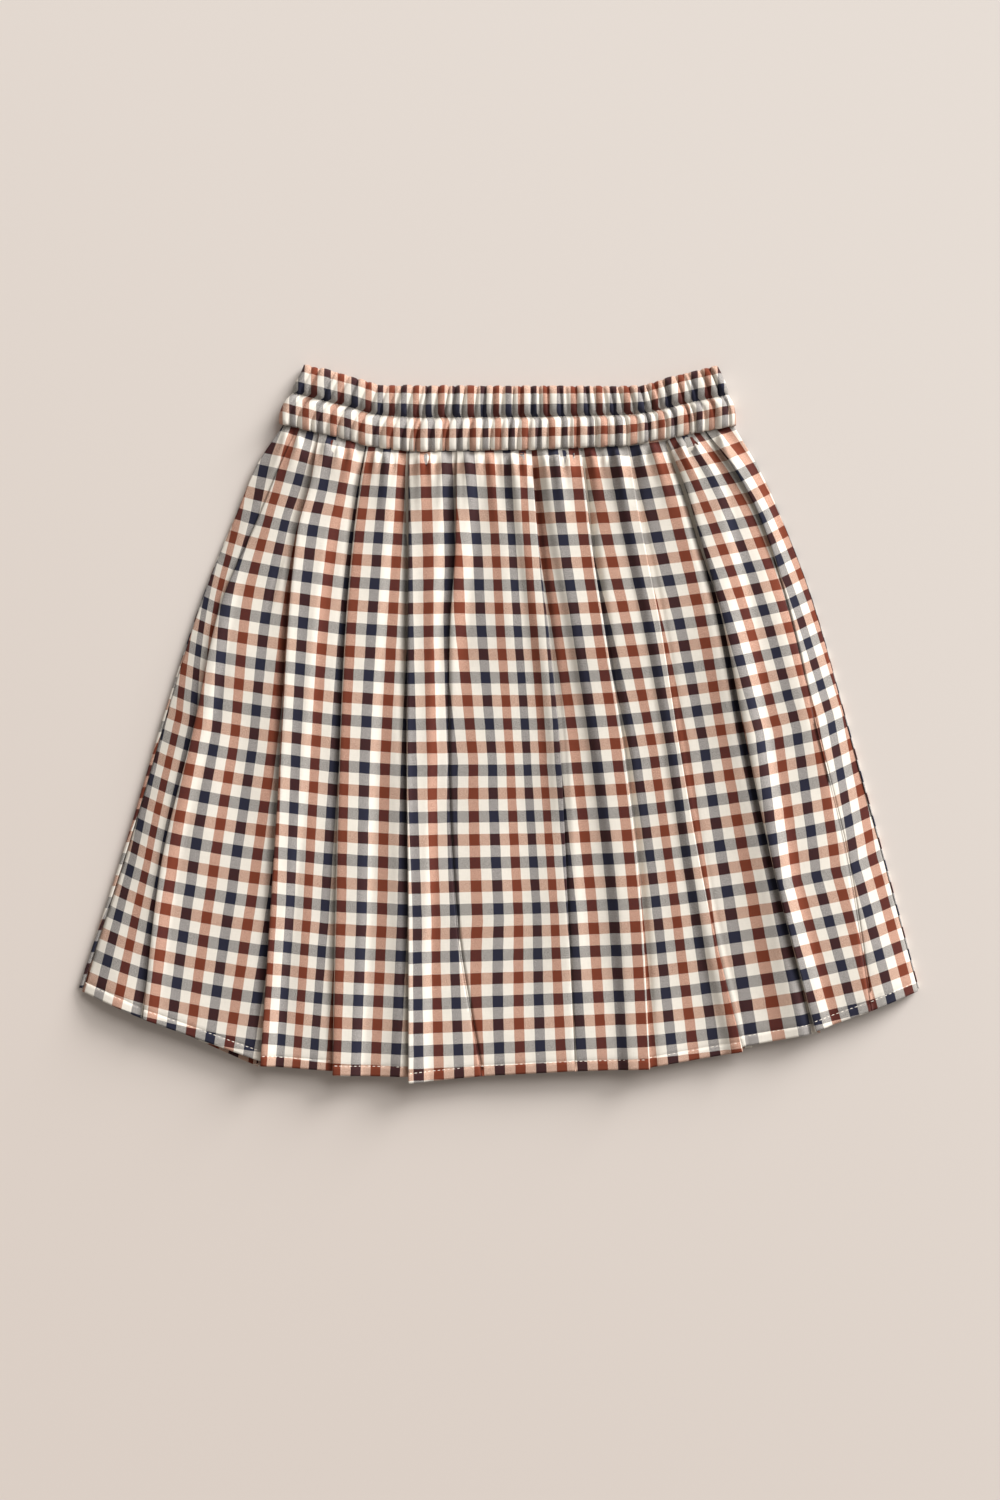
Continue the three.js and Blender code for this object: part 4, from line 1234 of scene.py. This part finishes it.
class SKORT_OT_stitching(bpy.types.Operator):
    """Sew the hems and the seam between the waistband's two channels"""
    bl_idname = "skort.stitching"
    bl_label = "Stitching"

    def execute(self, context):
        settings = context.scene.skort_shape
        length, gap = settings.hem_stitch / MM, settings.hem_gap / MM
        thread = shared_material("Sewing thread", sewing_thread)
        for name, panel, lift in (("hem_stitches_front", front_panel(), 0.32),
                                  ("hem_stitches_back", back_panel(), 0.15)):
            places = []
            for run in showing_runs(panel_row(panel, HEM_STITCH_UP / SKIRT_LENGTH)):
                places += stitches_along(run, length, gap, 0.55, lift, 0.35)
            piece = stitch_piece(name, places)
            finish_piece(piece, thread, "checked_cotton")
        middle = band_rows_of(True)[BAND_MIDDLE_STEP]
        line = np.stack([middle["x"], middle["y"], middle["z"]], axis=1)
        piece = stitch_piece("channel_stitches", stitches_along(line, 1.8, 0.9, 0.4, 0.12, 0.2))
        finish_piece(piece, thread, "waistband_cotton")
        return {"FINISHED"}


# ---------------------------------------------------------------- stage

class SKORT_OT_stage(bpy.types.Operator):
    """Lay out the pale floor, the soft light and the camera overhead"""
    bl_idname = "skort.stage"
    bl_label = "Stage"

    def execute(self, context):
        settings = context.scene.skort_stage
        bpy.ops.object.select_all(action="DESELECT")
        bpy.ops.mesh.primitive_plane_add(size=8, location=(0, 0, 0))
        floor = context.object
        floor.name = "floor"
        material = bpy.data.materials.new("Pale floor")
        material.use_nodes = True
        shader = material.node_tree.nodes["Principled BSDF"]
        w = Wiring(material.node_tree)
        place = material.node_tree.nodes.new("ShaderNodeTexCoord").outputs["Object"]
        x, y, _ = w.split(place)
        # Painted light and shade: the floor's colour runs from painted shade down at the left to
        # lit colour up at the right, with some random tone on top.
        slope = w.math("MULTIPLY_ADD", x, 0.6, w.math("MULTIPLY_ADD", y, 0.7, 0.42))
        slope = w.math("ADD", slope, w.math("MULTIPLY", w.noise(place, 3.0, 2.0), 0.06))
        tint = w.blend(w.soft_step(slope, 0.5, 0.7), (*settings.floor_painted_shade, 1),
                       (*settings.floor, 1))
        w.join(tint, shader.inputs["Base Color"])
        shader.inputs["Roughness"].default_value = 0.95
        shader.inputs["Specular IOR Level"].default_value = 0.1
        floor.data.materials.append(material)

        # The low light rakes over the folds and draws the long soft shadow.
        for name, strength, softness, place in (
                ("Key", settings.key, settings.softness, (1.0, 1.1, 1.2)),
                ("Low", settings.low, 0.5, (1.0, 1.1, 0.5))):
            light = bpy.data.lights.new(name, "SUN")
            light.energy = strength
            light.angle = softness
            light.color = (1.0, 0.985, 0.965)
            lamp = bpy.data.objects.new(name, light)
            lamp.location = place
            lamp.rotation_euler = look_angles([-c for c in place])
            context.scene.collection.objects.link(lamp)

        world = bpy.data.worlds.new("Studio")
        context.scene.world = world
        world.use_nodes = True
        back = world.node_tree.nodes["Background"]
        back.inputs["Color"].default_value = (1.0, 0.93, 0.85, 1)
        back.inputs["Strength"].default_value = settings.sky

        camera_data = bpy.data.cameras.new("Camera")
        camera_data.lens = 85
        camera_data.sensor_width = 36
        camera = bpy.data.objects.new("Camera", camera_data)
        camera.location = (0.0007, -0.0189, settings.height)
        context.scene.collection.objects.link(camera)
        context.scene.camera = camera
        context.scene.view_settings.view_transform = "Standard"
        return {"FINISHED"}


def look_angles(direction):
    """Turns that point a lamp along a direction."""
    x, y, z = direction
    flat = math.hypot(x, y)
    return (math.atan2(flat, -z), 0.0, math.atan2(-x, y))


# ---------------------------------------------------------------- panel and registration

class SKORT_PT_panel(bpy.types.Panel):
    """List the skort's pieces and sizes"""
    bl_idname = "SKORT_PT_panel"
    bl_label = "Skort"
    bl_space_type = "VIEW_3D"
    bl_region_type = "UI"
    bl_category = "Skort"

    def draw(self, context):
        layout = self.layout
        for step in OPERATORS:
            layout.operator(step.bl_idname)
        for group in ("skort_cloth", "skort_shape", "skort_stage"):
            settings = getattr(context.scene, group)
            box = layout.box()
            for name in settings.bl_rna.properties.keys():
                if name not in ("rna_type", "name"):
                    box.prop(settings, name)


SETTINGS = (
    ("skort_cloth", SkortClothSettings),
    ("skort_shape", SkortShapeSettings),
    ("skort_stage", SkortStageSettings),
)
OPERATORS = (SKORT_OT_stage, SKORT_OT_skirt, SKORT_OT_waistband, SKORT_OT_shorts,
             SKORT_OT_stitching)


def register():
    for name, settings in SETTINGS:
        bpy.utils.register_class(settings)
        setattr(bpy.types.Scene, name, bpy.props.PointerProperty(type=settings))
    for operator in OPERATORS:
        bpy.utils.register_class(operator)
    bpy.utils.register_class(SKORT_PT_panel)


def unregister():
    bpy.utils.unregister_class(SKORT_PT_panel)
    for operator in reversed(OPERATORS):
        bpy.utils.unregister_class(operator)
    for name, settings in reversed(SETTINGS):
        delattr(bpy.types.Scene, name)
        bpy.utils.unregister_class(settings)


def main():
    """Makes the stage and every piece."""
    register()
    bpy.ops.skort.stage()
    bpy.ops.skort.skirt()
    bpy.ops.skort.waistband()
    bpy.ops.skort.shorts()
    bpy.ops.skort.stitching()


if __name__ == "__main__":
    main()
